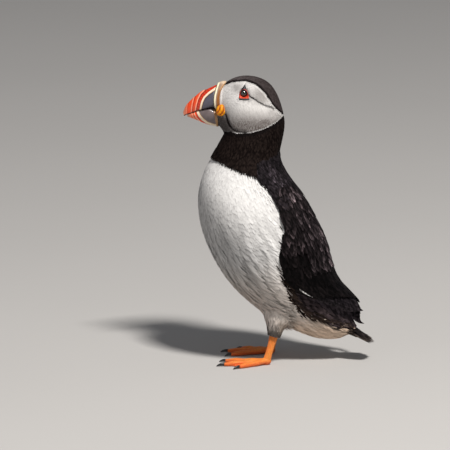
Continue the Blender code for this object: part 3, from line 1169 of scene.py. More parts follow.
@dataclass(frozen=True)
class Eye:
    """Where an eye sits and how large it is."""

    x: float = -32.2
    z: float = 240.0
    radius: float = 3.7
    proud: float = 0.75
    patch: tuple = (
        (1.15, 7.3), (2.3, 4.4), (3.0, 2.4), (3.8, 0.2), (4.4, -2.0), (4.8, -3.8), (4.8, -5.3), (0.3, -5.5),
        (-4.6, -5.2), (-4.7, -3.6), (-4.2, -1.8), (-3.7, 0.4), (-2.6, 2.9), (-1.0, 4.4),
    )

    def clear(self, points: Array) -> Array:
        """How far outside the bare eye, its rim and its plates a point is."""
        return -outline_distance(points[:, (0, 2)] - (self.x, self.z), self.patch)

    def away(self, points: Array) -> Array:
        """Distance from the eye's middle in side view."""
        return np.hypot(points[:, 0] - self.x, points[:, 2] - self.z)


EYE = Eye()


@dataclass(frozen=True)
class Sculpt:
    """The folds of the head's skin."""

    crease_depth: float = 0.8
    crease_width: float = 1.1
    chin_depth: float = 0.9
    chin_width: float = 1.5
    cheek_swell: float = 0.7
    socket_depth: float = 2.0

    def push(self, points: Array) -> Array:
        """How far the skin moves out.

        Args:
            points: Places on the skin.

        Returns:
            Millimetres for each point.
        """
        flat = points[:, (0, 2)]
        away, along = line_distance(flat, MARKS.eye_crease)
        out = -self.crease_depth * hump(away, 0.0, self.crease_width) * (1.0 - 0.5 * along)
        out -= self.chin_depth * hump(line_distance(flat, MARKS.chin_crease)[0], 0.0, self.chin_width)
        out -= self.socket_depth * ease(4.5, 3.3, EYE.away(points))
        swell = np.hypot((flat[:, 0] + 28.0) / 15.0, (flat[:, 1] - 219.0) / 10.0)
        out += self.cheek_swell * hump(swell, 0.0, 1.0)
        face = MARKS.cheek_depth(points)
        out -= 0.5 * ease(-3.0, -0.2, face) * ease(1.2, 0.0, face) * ease(224.0, 214.0, flat[:, 1])
        return out * ease(3.0, 8.0, np.abs(points[:, 1]))


SCULPT = Sculpt()


class Bed:
    """A stretch of skin as a grid, which the feathers grow from and lie along."""

    def __init__(self, name: str, points: Array, tailward: Array, outward: Array, box: tuple) -> None:
        """Makes the grid.

        Args:
            name: The bed's name.
            points: Rings by columns by three coordinates, the first column repeated at the end.
            tailward: The way feathers lie at each point.
            outward: The way out at each point.
            box: The low corner of its place on the unwrap and its size there, four numbers.
        """
        rows, columns = points.shape[:2]
        parts = (points, outward, tailward)
        self.points, self.outward, self.tailward = (part.reshape(-1, 3) for part in parts)
        self.place, self.turn, self.share = np.zeros((3, len(self.points)))
        self.coat, self.tone = np.ones((2, len(self.points)))
        self.laid = self.tailward
        faces = grid_faces(rows, columns)
        self.item = add_object(name, new_mesh(name, self.points, faces))
        self.item.hide_render = True
        down = np.linspace(box[1], box[1] + box[3], rows)
        over = np.linspace(box[0], box[0] + box[2], columns)
        unwrap = np.stack(np.broadcast_arrays(over[None, :], down[:, None]), axis=-1).reshape(-1, 2)
        store(self.item.data, "unwrap", unwrap[faces.ravel()])
        store(self.item.data, "outward", self.outward)

    def set(self, name: str, values: Amount) -> None:
        """Writes a number for each point."""
        store(self.item.data, name, np.broadcast_to(values, len(self.points)))

    def lie(self, fall: Amount) -> None:
        """Sets the way the feathers lie.

        Args:
            fall: The angle by which they turn from their usual lie towards the ground.
        """
        level = np.cross(self.outward, self.laid)
        level = level * np.where(level[:, 2:] > 0.0, -1.0, 1.0)
        angle = np.broadcast_to(fall, len(self.points))[:, None]
        store(self.item.data, "lie", unit(self.laid * np.cos(angle) + level * np.sin(angle)))


@dataclass(frozen=True)
class Torso:
    """Head, neck, trunk and the folded wings' roots as one surface under the feathers."""

    columns: int = 150
    head_step: float = 0.045
    body_step: float = 0.1
    nape: float = 4.6
    end: float = 18.0
    brow: int = 8
    face_end: float = 5.0
    patch: tuple = (0.02, 0.02, 0.62, 0.96)

    def places(self) -> Array:
        """The rings' places, closer together on the head. Those below 0 lie over the bill's base.

        Returns:
            A place for each ring.
        """
        ahead = np.linspace(-1.0, 0.0, self.brow + 1)[:-1]
        head = np.arange(0.0, self.nape, self.head_step)
        body = np.linspace(self.nape, self.end, int((self.end - self.nape) / self.body_step))
        return np.concatenate((ahead, head, body))

    def sections(self, coarse: int = 1) -> tuple[Array, Array, Array]:
        """The skin's points, ring after ring.

        Args:
            coarse: Every how many rings and columns stay.

        Returns:
            Places, turns and points, each rings by columns.
        """
        turns = np.linspace(-math.pi, math.pi, self.columns // coarse + 1)
        place, turn = np.meshgrid(self.places()[::coarse], turns, indexing="ij")
        body = np.maximum(place, 0.0)
        points = FORM.surface(body, turn, FORM.coat(body), WING.lift(body, turn))
        flat = points.reshape(-1, 3)
        push = SCULPT.push(flat) * (place.ravel() < self.face_end)
        points = (flat + FORM.outward(body, turn).reshape(-1, 3) * push[:, None]).reshape(points.shape)
        ahead = np.clip(-place, 0.0, 1.0)
        points[..., 0] -= ahead * np.maximum(points[..., 0] - MARKS.front(points[..., 2]) + 0.5, 0.3)
        points[..., 1] *= 1.0 - 0.07 * ahead**2
        return place, turn, points

    def bed(self) -> Bed:
        """Makes the bed for feathers.

        Returns:
            The bed, with place, turn and coat set.
        """
        place, turn, points = self.sections()
        tailward = unit(np.gradient(points, axis=0))
        around = np.gradient(points, axis=1)
        around[:, 0] = around[:, -1] = points[:, 1] - points[:, -2]
        made = Bed("torso_bed", points, tailward, unit(np.cross(tailward, around)), self.patch)
        made.place, made.turn = place.ravel(), turn.ravel()
        made.coat = FORM.coat(np.maximum(made.place, 0.0))
        return made

    def shell(self) -> Mesh:
        """The torso's closed skin."""
        return closed_loft("torso_skin", self.sections(2)[2][:, :-1])

    def unwrapped(self, places: Array, turns: Array) -> Array:
        """Where points of the torso lie on the unwrap.

        Args:
            places: Where along the body.
            turns: The angle round it.

        Returns:
            Rows of two coordinates.
        """
        rings, (left, low, width, height) = self.places(), self.patch
        down = np.interp(places, rings, np.linspace(low, low + height, len(rings)))
        over = left + width * (np.clip(turns, -math.pi, math.pi) + math.pi) / math.tau
        return np.stack((over, down), axis=-1)


# ---------------------------------------------------------------- small feathers


@dataclass(frozen=True)
class TuftShape:
    """A small feather one unit long and one unit wide, its root at the origin and its tip along +Y."""

    shares: tuple[float, ...] = (0.0, 0.3, 0.64)
    halves: tuple[float, ...] = (0.26, 0.5, 0.42)
    forks: tuple[float, ...] = (0.0,)
    cup: float = 0.05
    level: float = 0.5
    variants: int = 6
    seed: int = 40

    def meshes(self, name: str) -> list[Mesh]:
        """Slightly different feathers of this shape."""
        return [self.mesh(f"{name}_{number}", number) for number in range(self.variants)]

    def mesh(self, name: str, number: int) -> Mesh:
        """One feather.

        Args:
            name: The mesh's name.
            number: Which variant.

        Returns:
            A flat mesh with its tip share, climb and patch as attributes.
        """
        chance = np.random.default_rng(self.seed + number)
        points, faces = [], []
        for share, half in zip(self.shares, self.halves):
            lean = 0.1 * share * share * chance.uniform(-1.0, 1.0)
            points += [(lean - half, share * 0.97), (lean, share), (lean + half, share * 0.97)]
        for first in (row * 3 + step for row in range(len(self.shares) - 1) for step in range(2)):
            faces.append([first, first + 1, first + 4, first + 3])
        last = len(points) - 3
        if len(self.forks) == 1:
            points.append((self.forks[0] + chance.uniform(-0.12, 0.12), 1.0))
            faces += [[last, last + 1, last + 3], [last + 1, last + 2, last + 3]]
        else:
            for step, fork in enumerate(self.forks):
                points.append((fork + chance.uniform(-0.07, 0.07), 1.0 - 0.12 * chance.random()))
                faces.append([last + step, last + step + 1, last + 3 + step])
        flat = np.array(points)
        mesh = bpy.data.meshes.new(name)
        mesh.from_pydata([(x, y, 0.0) for x, y in points], [], faces)
        mesh.shade_smooth()
        across, tip = flat.T
        rise = 1.0 - (1.0 - tip) ** 2
        store(mesh, "tip", tip)
        store(mesh, "climb", self.level + rise * (1.0 - self.level) - self.cup * (np.abs(across) * 2.0) ** 2)
        store(mesh, "patch", np.concatenate([flat[face] for face in faces]) - (0.0, 0.5))
        return mesh


DOWN = TuftShape()
CONTOUR = TuftShape((0.0, 0.28, 0.56, 0.82), (0.26, 0.48, 0.5, 0.32), (-0.18, 0.2), 0.08, 0.45)
RAGGED = TuftShape((0.0, 0.25, 0.5, 0.74), (0.24, 0.44, 0.46, 0.28), (-0.26, 0.2), 0.06, 0.5)


class CoatTree:
    """The node tree that strews feathers over a bed, lays them along it and drapes them on it."""

    sockets: tuple = (
        ("Bed", "Object"), ("Feathers", "Collection"), ("Spacing", "Float"), ("Crowding", "Float"),
        ("Turn Spread", "Float"), ("Size Spread", "Float"), ("Patch Size", "Float"), ("Seed", "Int"),
        ("Finish", "Material"),
    )

    def __init__(self) -> None:
        """Builds the tree."""
        self.tree = bpy.data.node_groups.new("strew_feathers", "GeometryNodeTree")
        self.graph = Graph(self.tree)
        face = self.tree.interface
        self.keys = {
            name: face.new_socket(name, in_out="INPUT", socket_type=f"NodeSocket{kind}").identifier
            for name, kind in self.sockets
        }
        face.new_socket("Coat", in_out="OUTPUT", socket_type="NodeSocketGeometry")
        inputs = self.graph.node("NodeGroupInput", {}, {})
        self.given = {name: self.graph.out(inputs, name) for name, _ in self.sockets}
        bed = self.pipe("ObjectInfo", "Geometry", {"Object": self.given["Bed"]})
        self.graph.node("NodeGroupOutput", {}, {0: self.drape(self.lay(self.scatter(bed)), bed)})

    def pipe(self, kind: str, output: str | int, inputs: dict, **settings: object) -> Socket:
        """Adds a node of the geometry's own kinds, as Graph.pipe does."""
        return self.graph.pipe(f"GeometryNode{kind}", output, inputs, **settings)

    def number(self, name: str) -> Wire:
        """Reads a number of the geometry."""
        return Wire(self.graph, self.vector(name, "FLOAT"))

    def vector(self, name: str, kind: str = "FLOAT_VECTOR") -> Socket:
        """Reads a vector of the geometry, or an attribute of another kind."""
        return self.pipe("InputNamedAttribute", "Attribute", {"Name": name}, data_type=kind)

    def keep(self, shape: Socket, name: str, value: Wire | Socket, kind: str = "FLOAT_VECTOR") -> Socket:
        """Stores an attribute.

        Args:
            shape: The geometry that gets it.
            name: Its name.
            value: What it holds.
            kind: Its type, where FLOAT2 goes to the corners and others to the points.

        Returns:
            The geometry with it.
        """
        domain = "CORNER" if kind == "FLOAT2" else "POINT"
        inputs = {"Geometry": shape, "Name": name, "Value": value}
        return self.pipe("StoreNamedAttribute", 0, inputs, data_type=kind, domain=domain)

    def random(self, low: float, high: float, seed: int) -> Wire:
        """A random number for each feather, where seed keeps one use apart from another."""
        inputs = {"Min": low, "Max": high, "Seed": Wire(self.graph, self.given["Seed"]) + float(seed)}
        return self.graph.wired("FunctionNodeRandomValue", "Value", inputs, data_type="FLOAT")

    def triple(self, x: Wire | float, y: Wire | float, z: Wire | float) -> Socket:
        """Makes a vector of three numbers."""
        return self.graph.pipe("ShaderNodeCombineXYZ", 0, {"X": x, "Y": y, "Z": z})

    def scatter(self, bed: Socket) -> Socket:
        """Strews points over the bed, denser where the bed says so.

        Args:
            bed: The bed's surface.

        Returns:
            The points, each with its root, its place on the unwrap and a chance of its own.
        """
        inputs = {
            "Mesh": bed, "Distance Min": self.given["Spacing"], "Density Max": self.given["Crowding"],
            "Density Factor": self.number("density"), "Seed": self.given["Seed"],
        }
        points = self.pipe("DistributePointsOnFaces", "Points", inputs, distribute_method="POISSON")
        points = self.keep(points, "root", self.pipe("InputPosition", 0, {}))
        points = self.keep(points, "root_uv", self.vector("unwrap"))
        return self.keep(points, "chance", self.random(0.0, 1.0, 11), "FLOAT")

    def lay(self, points: Socket) -> Socket:
        """Puts a feather on each point, its tip the way the bed's feathers lie.

        Args:
            points: The strewn points.

        Returns:
            The feathers as instances.
        """
        pipe, align = self.graph.pipe, "FunctionNodeAlignRotationToVector"
        upright = pipe(align, 0, {"Vector": self.vector("outward")}, axis="Z")
        along = pipe(align, 0, {"Rotation": upright, "Vector": self.vector("lie")}, axis="Y", pivot_axis="Z")
        yaw = self.triple(0.0, 0.0, self.random(-1.0, 1.0, 23) * self.given["Turn Spread"])
        inputs = {"Rotation": along, "Rotate By": yaw}
        turned = pipe("FunctionNodeRotateRotation", 0, inputs, rotation_space="LOCAL")
        size = self.random(-1.0, 1.0, 37) * self.given["Size Spread"] + 1.0
        inputs = {"Collection": self.given["Feathers"], "Separate Children": True, "Reset Children": True}
        shapes = self.pipe("CollectionInfo", 0, inputs)
        pick = pipe("FunctionNodeRandomValue", "Value", {"Min": 0, "Max": 99, "Seed": 5}, data_type="INT")
        scale = self.triple(self.number("width") * size, self.number("length") * size, 1.0)
        inputs = {
            "Points": points, "Instance": shapes, "Pick Instance": True, "Instance Index": pick,
            "Rotation": turned, "Scale": scale,
        }
        return self.pipe("InstanceOnPoints", 0, inputs)

    def drape(self, laid: Socket, bed: Socket) -> Socket:
        """Makes the feathers real, lays them on the bed and gives them their patch of the unwrap.

        Args:
            laid: The feathers as instances.
            bed: The bed's surface.

        Returns:
            The coat.
        """
        vectors = "ShaderNodeVectorMath"
        real = self.pipe("RealizeInstances", 0, {"Geometry": laid})
        place = self.pipe("InputPosition", 0, {})
        near, out = self.nearest(bed, place, place), self.nearest(bed, self.vector("outward"), place)
        height = self.number("climb") * self.number("depth") * (self.number("chance") * 0.3 + 0.85)
        inputs = {0: out, 1: self.triple(height, height, height), 2: near}
        lifted = self.graph.pipe(vectors, 0, inputs, operation="MULTIPLY_ADD")
        real = self.pipe("SetPosition", 0, {"Geometry": real, "Position": lifted})
        inputs = {0: self.vector("patch"), "Scale": self.given["Patch Size"]}
        small = self.graph.pipe(vectors, 0, inputs, operation="SCALE")
        spot = self.graph.pipe(vectors, 0, {0: small, 1: self.vector("root_uv")}, operation="ADD")
        real = self.keep(real, "OFBake", spot, "FLOAT2")
        return self.pipe("SetMaterial", 0, {"Geometry": real, "Material": self.given["Finish"]})

    def nearest(self, bed: Socket, value: Socket, place: Socket) -> Socket:
        """Reads a vector at the bed's nearest place."""
        inputs = {"Mesh": bed, "Value": value, "Sample Position": place}
        return self.pipe("SampleNearestSurface", "Value", inputs, data_type="FLOAT_VECTOR")

    def grow(self, name: str, bed: Bed, shape: TuftShape, values: dict[str, object]) -> Mesh:
        """Runs the tree.

        Args:
            name: The coat piece's name.
            bed: The bed, with density, width, length and depth set.
            shape: The feather.
            values: The tree's other inputs by name.

        Returns:
            The coat as a plain mesh.
        """
        pen = bpy.data.collections.new(f"{name}_feathers")
        for mesh in shape.meshes(name):
            pen.objects.link(bpy.data.objects.new(mesh.name, mesh))
        carrier = add_object(f"{name}_carrier", bpy.data.meshes.new(f"{name}_empty"))
        strew = carrier.modifiers.new("strew", "NODES")
        strew.node_group = self.tree
        given = {"Bed": bed.item, "Feathers": pen, "Patch Size": PATCH, **values}
        for key, value in given.items():
            strew[self.keys[key]] = value
        mesh = plain(carrier, name)
        for item in (carrier, *pen.objects):
            drop(item)
        bpy.data.collections.remove(pen)
        return mesh


@dataclass(frozen=True)
class CoatPiece:
    """One piece of the coat: where it grows and what its feathers are like, in millimetres."""

    name: str
    shape: TuftShape
    spacing: float
    length: Callable[[Bed], Array]
    where: Callable[[Bed], Array]
    slim: float = 0.42
    turn: float = 0.16
    size: float = 0.22
    seed: int = 1
    height: Callable[[Bed], Array] | float = 1.0
    fall: Callable[[Bed], Array] | float = 0.0
    tint: tuple | None = None
    faced: bool = True
    crowding: float = 1.6
    kept: tuple[str, ...] = ("marking", "chance", "tip", "OFBake", "material_index", "sharp_face")

    def build(self, tree: CoatTree, bed: Bed) -> None:
        """Grows the piece on its bed and dresses it.

        Args:
            tree: The node tree that strews feathers.
            bed: The bed with its coat depth and lie set.
        """
        length = self.length(bed)
        height = self.height(bed) if callable(self.height) else self.height
        bed.lie(self.fall(bed) if callable(self.fall) else self.fall)
        bed.set("density", self.where(bed))
        bed.set("length", length * MM)
        bed.set("width", length * self.slim * MM)
        bed.set("depth", bed.coat * height * MM)
        bed.set("tone", bed.tone)
        spacing = self.spacing * MM
        values = {
            "Spacing": spacing, "Crowding": self.crowding / (spacing * spacing), "Turn Spread": self.turn,
            "Size Spread": self.size, "Seed": self.seed, "Finish": COAT.material(),
        }
        mesh = tree.grow(self.name, bed, self.shape, values)
        chance, tone = (read(mesh.attributes[key].data, "value", 1) for key in ("chance", "tone"))
        if self.tint:
            colours = blend(*self.tint, chance**2)
        else:
            roots = from_world(read(mesh.attributes["root"].data, "vector"))
            colours = MARKS.colours(roots, chance, self.faced)
        # tone darkens each feather: painted shade between the torso's white clumps, and the thighs' dusky
        # lower ends.
        paint(mesh, colours * tone[:, None])
        for extra in [layer.name for layer in mesh.attributes if not layer.is_required]:
            if extra not in self.kept and not extra.startswith("."):
                mesh.attributes.remove(mesh.attributes[extra])
        finished(self.name, mesh, COAT, "trunk")


# ---------------------------------------------------------------- legs, feet and the one skin


@dataclass(frozen=True)
class Toe:
    """A toe's reach, heading and claw length."""

    reach: float
    heading: float
    claw: float


@dataclass(frozen=True)
class Leg:
    """One leg: the feathered thigh, the bare tarsus and the webbed foot."""

    side: Side
    heel_x: float
    yaw: float
    spread: float = 22.0
    ankle_height: float = 25.0
    web_height: float = 1.08
    toes: tuple[Toe, ...] = (Toe(28.0, -24.0, 6.0), Toe(37.0, 0.0, 6.5), Toe(36.0, 23.0, 5.5))
    shares: tuple[float, ...] = (0.0, 0.18, 0.36, 0.54, 0.72, 0.88, 1.0)
    heights: tuple[float, ...] = (3.4, 3.0, 2.7, 2.3, 2.3, 1.9, 1.7)
    girths: tuple[float, ...] = (2.9, 2.5, 2.7, 2.2, 2.4, 2.0, 1.5)
    toe_rings: int = 64
    web_rows: int = 34
    web_columns: int = 40
    web_end: int = 44
    web_under: float = 0.25
    web_hollow: float = 0.88
    path_points: int = 50
    inset: float = 1.5

    def placed(self, points: Array) -> Array:
        """Moves points of a foot whose outer side is -Y to this foot's place.

        Args:
            points: Points in the foot's own frame.

        Returns:
            The points in the bird's frame.
        """
        sign = float(self.side.value)
        x, y, z = points[..., 0], -sign * points[..., 1], points[..., 2]
        turn = math.radians(-sign * self.yaw)
        turned = (x * math.cos(turn) - y * math.sin(turn), x * math.sin(turn) + y * math.cos(turn), z)
        return np.stack(turned, axis=-1) + (self.heel_x, sign * self.spread, 0.0)

    def heel(self) -> Array:
        """Where the tarsus meets the toes."""
        return np.array((self.heel_x + 0.8, self.side.value * self.spread, 3.4))

    def ankle(self) -> Array:
        """Where the feathers begin."""
        return np.array((self.heel_x + 7.0, self.side.value * (self.spread - 1.5), self.ankle_height))

    def hip(self) -> Array:
        """Where the thigh ends, inside the belly."""
        return np.array((0.0, self.side.value * 13.5, 54.0))

    def toe_path(self, toe: Toe, count: int) -> Array:
        """A toe's middle line in its own foot's frame.

        Args:
            toe: The toe.
            count: How many points.

        Returns:
            Rows of three coordinates.
        """
        heading = math.radians(toe.heading)
        share = np.linspace(0.0, 1.0, count)
        reach = toe.reach * share
        height = np.interp(share, self.shares, self.heights)
        return np.stack((-reach * math.cos(heading), reach * math.sin(heading), height), axis=-1)

    def toe_mesh(self, toe: Toe, name: str) -> Mesh:
        """A toe with its joints and rings of scutes, flat underneath.

        Args:
            toe: The toe.
            name: The mesh's name.

        Returns:
            A closed mesh.
        """
        share = np.linspace(0.0, 1.0, self.toe_rings)
        girth = spline(self.girths, np.interp(share, self.shares, range(len(self.shares))))
        girth = girth + 0.1 * np.sin(share * toe.reach / 1.45 * math.tau)
        sections = tube_sections(self.toe_path(toe, self.toe_rings), girth, 20, 1.1)
        sections[..., 2] = np.maximum(sections[..., 2], 0.0)
        return closed_loft(name, self.placed(sections))

    def claw_mesh(self, toe: Toe, name: str) -> Mesh:
        """A toe's curved claw, rooted in the toe's end.

        Args:
            toe: The toe.
            name: The mesh's name.

        Returns:
            A closed mesh.
        """
        path = self.toe_path(toe, self.path_points)
        ahead = unit(path[-1] - path[-2])
        share = np.linspace(-0.2, 1.0, 30)
        lift = np.interp(share, (-0.2, 0.0, 0.35, 0.7, 1.0), (0.15, 0.3, 0.32, -0.12, -0.95))
        claw = path[-1] + ahead * (0.3 + toe.claw * share)[:, None] + (0.0, 0.0, 1.0) * lift[:, None]
        girth = np.interp(share, (-0.2, 0.0, 0.35, 0.7, 0.93, 1.0), (1.0, 1.32, 1.2, 0.82, 0.42, 0.22))
        return closed_loft(name, self.placed(tube_sections(claw, girth, 28, 0.8)))

    def web_top(self) -> Array:
        """The webs' upper side: folded skin from toe to toe, hollowed at the free edge.

        Returns:
            Rows by columns by three coordinates, in the foot's own frame.
        """
        share = np.linspace(0.03, 1.0, self.web_rows)[:, None]
        across = np.linspace(0.0, 1.0, self.web_columns)[None, :]
        folds = np.sin(across * math.tau * 3.5 + share * 1.5) * 0.16 * share * np.sin(across * math.pi)
        ends = [self.toe_path(toe, self.path_points)[self.web_end] for toe in self.toes]
        sheets = []
        for first, second in zip(ends, ends[1:]):
            hollow = (first + second) / 2.0 * self.web_hollow
            rim = first * ((1 - across) ** 2)[..., None] + hollow * (2 * across * (1 - across))[..., None]
            sheet = (rim + second * (across**2)[..., None]) * share[..., None]
            sheet[..., 2] = self.web_height + 0.55 * (1.0 - share) + folds
            sheets.append(sheet)
        return np.concatenate((sheets[0], sheets[1][:, 1:]), axis=1)

    def web_mesh(self, name: str) -> Mesh:
        """The webs as a closed sheet, flat underneath.

        Args:
            name: The mesh's name.

        Returns:
            The mesh.
        """
        top = self.web_top()
        low = top.copy()
        low[..., 2] = self.web_under
        rows, columns = top.shape[:2]
        count = rows * columns
        faces = grid_faces(rows, columns)
        grid = np.arange(count).reshape(rows, columns)
        loop = [*grid[0], *grid[1:, -1], *grid[-1, -2::-1], *grid[-2:0:-1, 0]]
        walls = [[a, a + count, b + count, b] for a, b in zip(loop, loop[1:] + loop[:1])]
        both = np.concatenate((top.reshape(-1, 3), low.reshape(-1, 3)))
        mesh = new_mesh(name, self.placed(both), np.concatenate((faces, faces[:, ::-1] + count, walls)))
        face_out(mesh)
        return mesh

    def bare_meshes(self) -> list[Mesh]:
        """Tarsus, heel, toes and webs.

        Returns:
            Closed meshes that overlap.
        """
        word = self.side.word
        heel, ankle = self.heel(), self.ankle()
        share = np.linspace(0.0, 1.06, 60)
        girth = spline((3.5, 3.3, 3.1, 3.1, 3.2, 3.6, 3.7), np.clip(share, 0, 1) * 6.0)
        girth = girth + 0.12 * np.sin(share * 23.0 / 1.5 * math.tau)
        tarsus = tube_sections(heel + (ankle - heel) * share[:, None], girth, 24, 0.74)
        across, up, out = globe(12, 20)
        ball = np.stack((0.8 + 4.2 * out, 3.4 * across, np.maximum(3.2 + 3.4 * up, 0.0)), axis=-1)
        return [
            closed_loft(f"tarsus_shape_{word}", tarsus),
            *(self.toe_mesh(toe, f"toe_shape_{word}") for toe in self.toes),
            self.web_mesh(f"web_shape_{word}"),
            closed_loft(f"heel_shape_{word}", self.placed(ball)),
        ]

    def outside(self, points: Array) -> Array:
        """How far outside the thigh's upper half points are, and far away elsewhere.

        Args:
            points: Places in the bird's frame.

        Returns:
            Millimetres for each point.
        """
        start = self.ankle()
        axis = self.hip() - start
        share = (points - start) @ axis / (axis @ axis)
        away = np.linalg.norm(points - start - np.clip(share, 0.0, 1.2)[:, None] * axis, axis=-1)
        return away - np.interp(share, (0.0, 0.5, 1.0), (5.0, 11.4, 16.4)) + 50.0 * (share < 0.45)

    def thigh_sections(self, rings: int) -> Array:
        """The feathered thigh, inside its feathers' tips.

        Args:
            rings: How many rings.

        Returns:
            Rings by points by three coordinates.
        """
        heel, start, top = self.heel(), self.ankle(), self.hip()
        along = (start - heel) / np.linalg.norm(start - heel)
        share = np.linspace(0.0, 1.0, rings)
        path = start + (top - start) * share[:, None]
        straight = start + along * (share[:, None] * np.linalg.norm(top - start))
        path = path + (straight - path) * np.clip(1.0 - share[:, None] / 0.24, 0.0, 1.0)
        girth = np.interp(share, (0.0, 0.1, 0.28, 0.5, 0.75, 1.0), (4.3, 5.6, 8.0, 11.4, 14.6, 16.4))
        return tube_sections(path, girth - self.inset * ease(-0.1, 0.25, share), 40, 0.85)

    def bed(self, corner: tuple[float, float]) -> Bed:
        """The thigh's bed for feathers, which lie downwards.

        Args:
            corner: The low corner of its place on the unwrap.

        Returns:
            The bed, with share and coat set.
        """
        rings = 40
        sections = self.thigh_sections(rings)[::-1]
        points = np.concatenate((sections, sections[:, :1]), axis=1)
        outward = unit(points - sections.mean(axis=1)[:, None])
        box = (*corner, 0.14, 0.3)
        made = Bed(f"thigh_bed_{self.side.word}", points, unit(np.gradient(points, axis=0)), outward, box)
        made.share = np.repeat(np.linspace(1.0, 0.0, rings), points.shape[1])
        made.coat = np.full(len(made.points), self.inset)
        return made


LEGS = (Leg(Side.LEFT, -12.9, 10.0), Leg(Side.RIGHT, -9.0, 5.0))


@dataclass(frozen=True)
class Hide:
    """The one skin of the whole bird, bare on the legs and feet and hidden under feathers elsewhere."""

    torso: Torso
    voxel: float = 0.42
    leg_orange: tuple = (0.94, 0.205, 0.03)
    leg_yellow: tuple = (0.97, 0.38, 0.06)
    web_red: tuple = (0.90, 0.15, 0.028)
    bare_top: float = 27.0
    bare_back: float = 12.0

    def build(self) -> None:
        """Joins body, thighs and legs into one closed surface and colours it."""
        shapes = [self.torso.shell(), TAIL.skin()]
        shapes += [closed_loft(f"thigh_skin_{leg.side.word}", leg.thigh_sections(30)) for leg in LEGS]
        shapes += [voxel_join(f"bare_leg_{leg.side.word}", leg.bare_meshes(), self.voxel, 2) for leg in LEGS]
        mesh = self.united(shapes)
        self.colour(mesh)
        pairs = [f"{part}_{side.word}" for side in Side for part in ("wing", "thigh", "tarsus", "foot")]
        finished("skin", mesh, SKIN, "head", "neck", "trunk", "tail", *pairs)

    def united(self, shapes: list[Mesh]) -> Mesh:
        """Unites closed meshes one after another.

        Args:
            shapes: The meshes, which are used up.

        Returns:
            The mesh of all of them.
        """
        base, *tools = (add_object(f"skin_shape_{number}", shape) for number, shape in enumerate(shapes))
        for tool in tools:
            union = base.modifiers.new(f"unite_{tool.name}", "BOOLEAN")
            union.operation = "UNION"
            union.solver = "MANIFOLD"
            union.object = tool
        mesh = plain(base, "skin")
        for item in (base, *tools):
            drop(item)
        mesh.shade_smooth()
        return mesh

    def colour(self, mesh: Mesh) -> None:
        """Gives the skin its markings and the bare legs their own finish.

        Args:
            mesh: The skin.
        """
        points = mesh_points(mesh)
        # Under the feathers the skin is darkened: painted shade in the gaps between them.
        plumage = MARKS.colours(points, np.full(len(points), 0.5)) * 0.9
        bare = ease(self.bare_top + 0.6, self.bare_top - 0.8, points[:, 2]) * (points[:, 0] < self.bare_back)
        tall = ease(2.2, 5.0, points[:, 2])
        patch = ripple(points, 9.0, 1.3) * 0.5 + 0.5
        warm = ((self.leg_orange, patch * 0.6), (self.leg_orange, tall * 0.35))
        legs = layered(self.web_red, (self.leg_yellow, tall), *warm)
        paint(mesh, blend(plumage, legs, bare))
        for name in ("tip", "chance"):
            store(mesh, name, np.full(len(points), 0.4))
        mesh.materials.clear()
        for finish in (SKIN, LEG_SKIN):
            mesh.materials.append(finish.material())
        middle = from_world(read(mesh.polygons, "center"))
        kind = (middle[:, 2] < self.bare_top) & (middle[:, 0] < self.bare_back)
        mesh.polygons.foreach_set("material_index", kind.astype(np.int32))


# ---------------------------------------------------------------- the coat


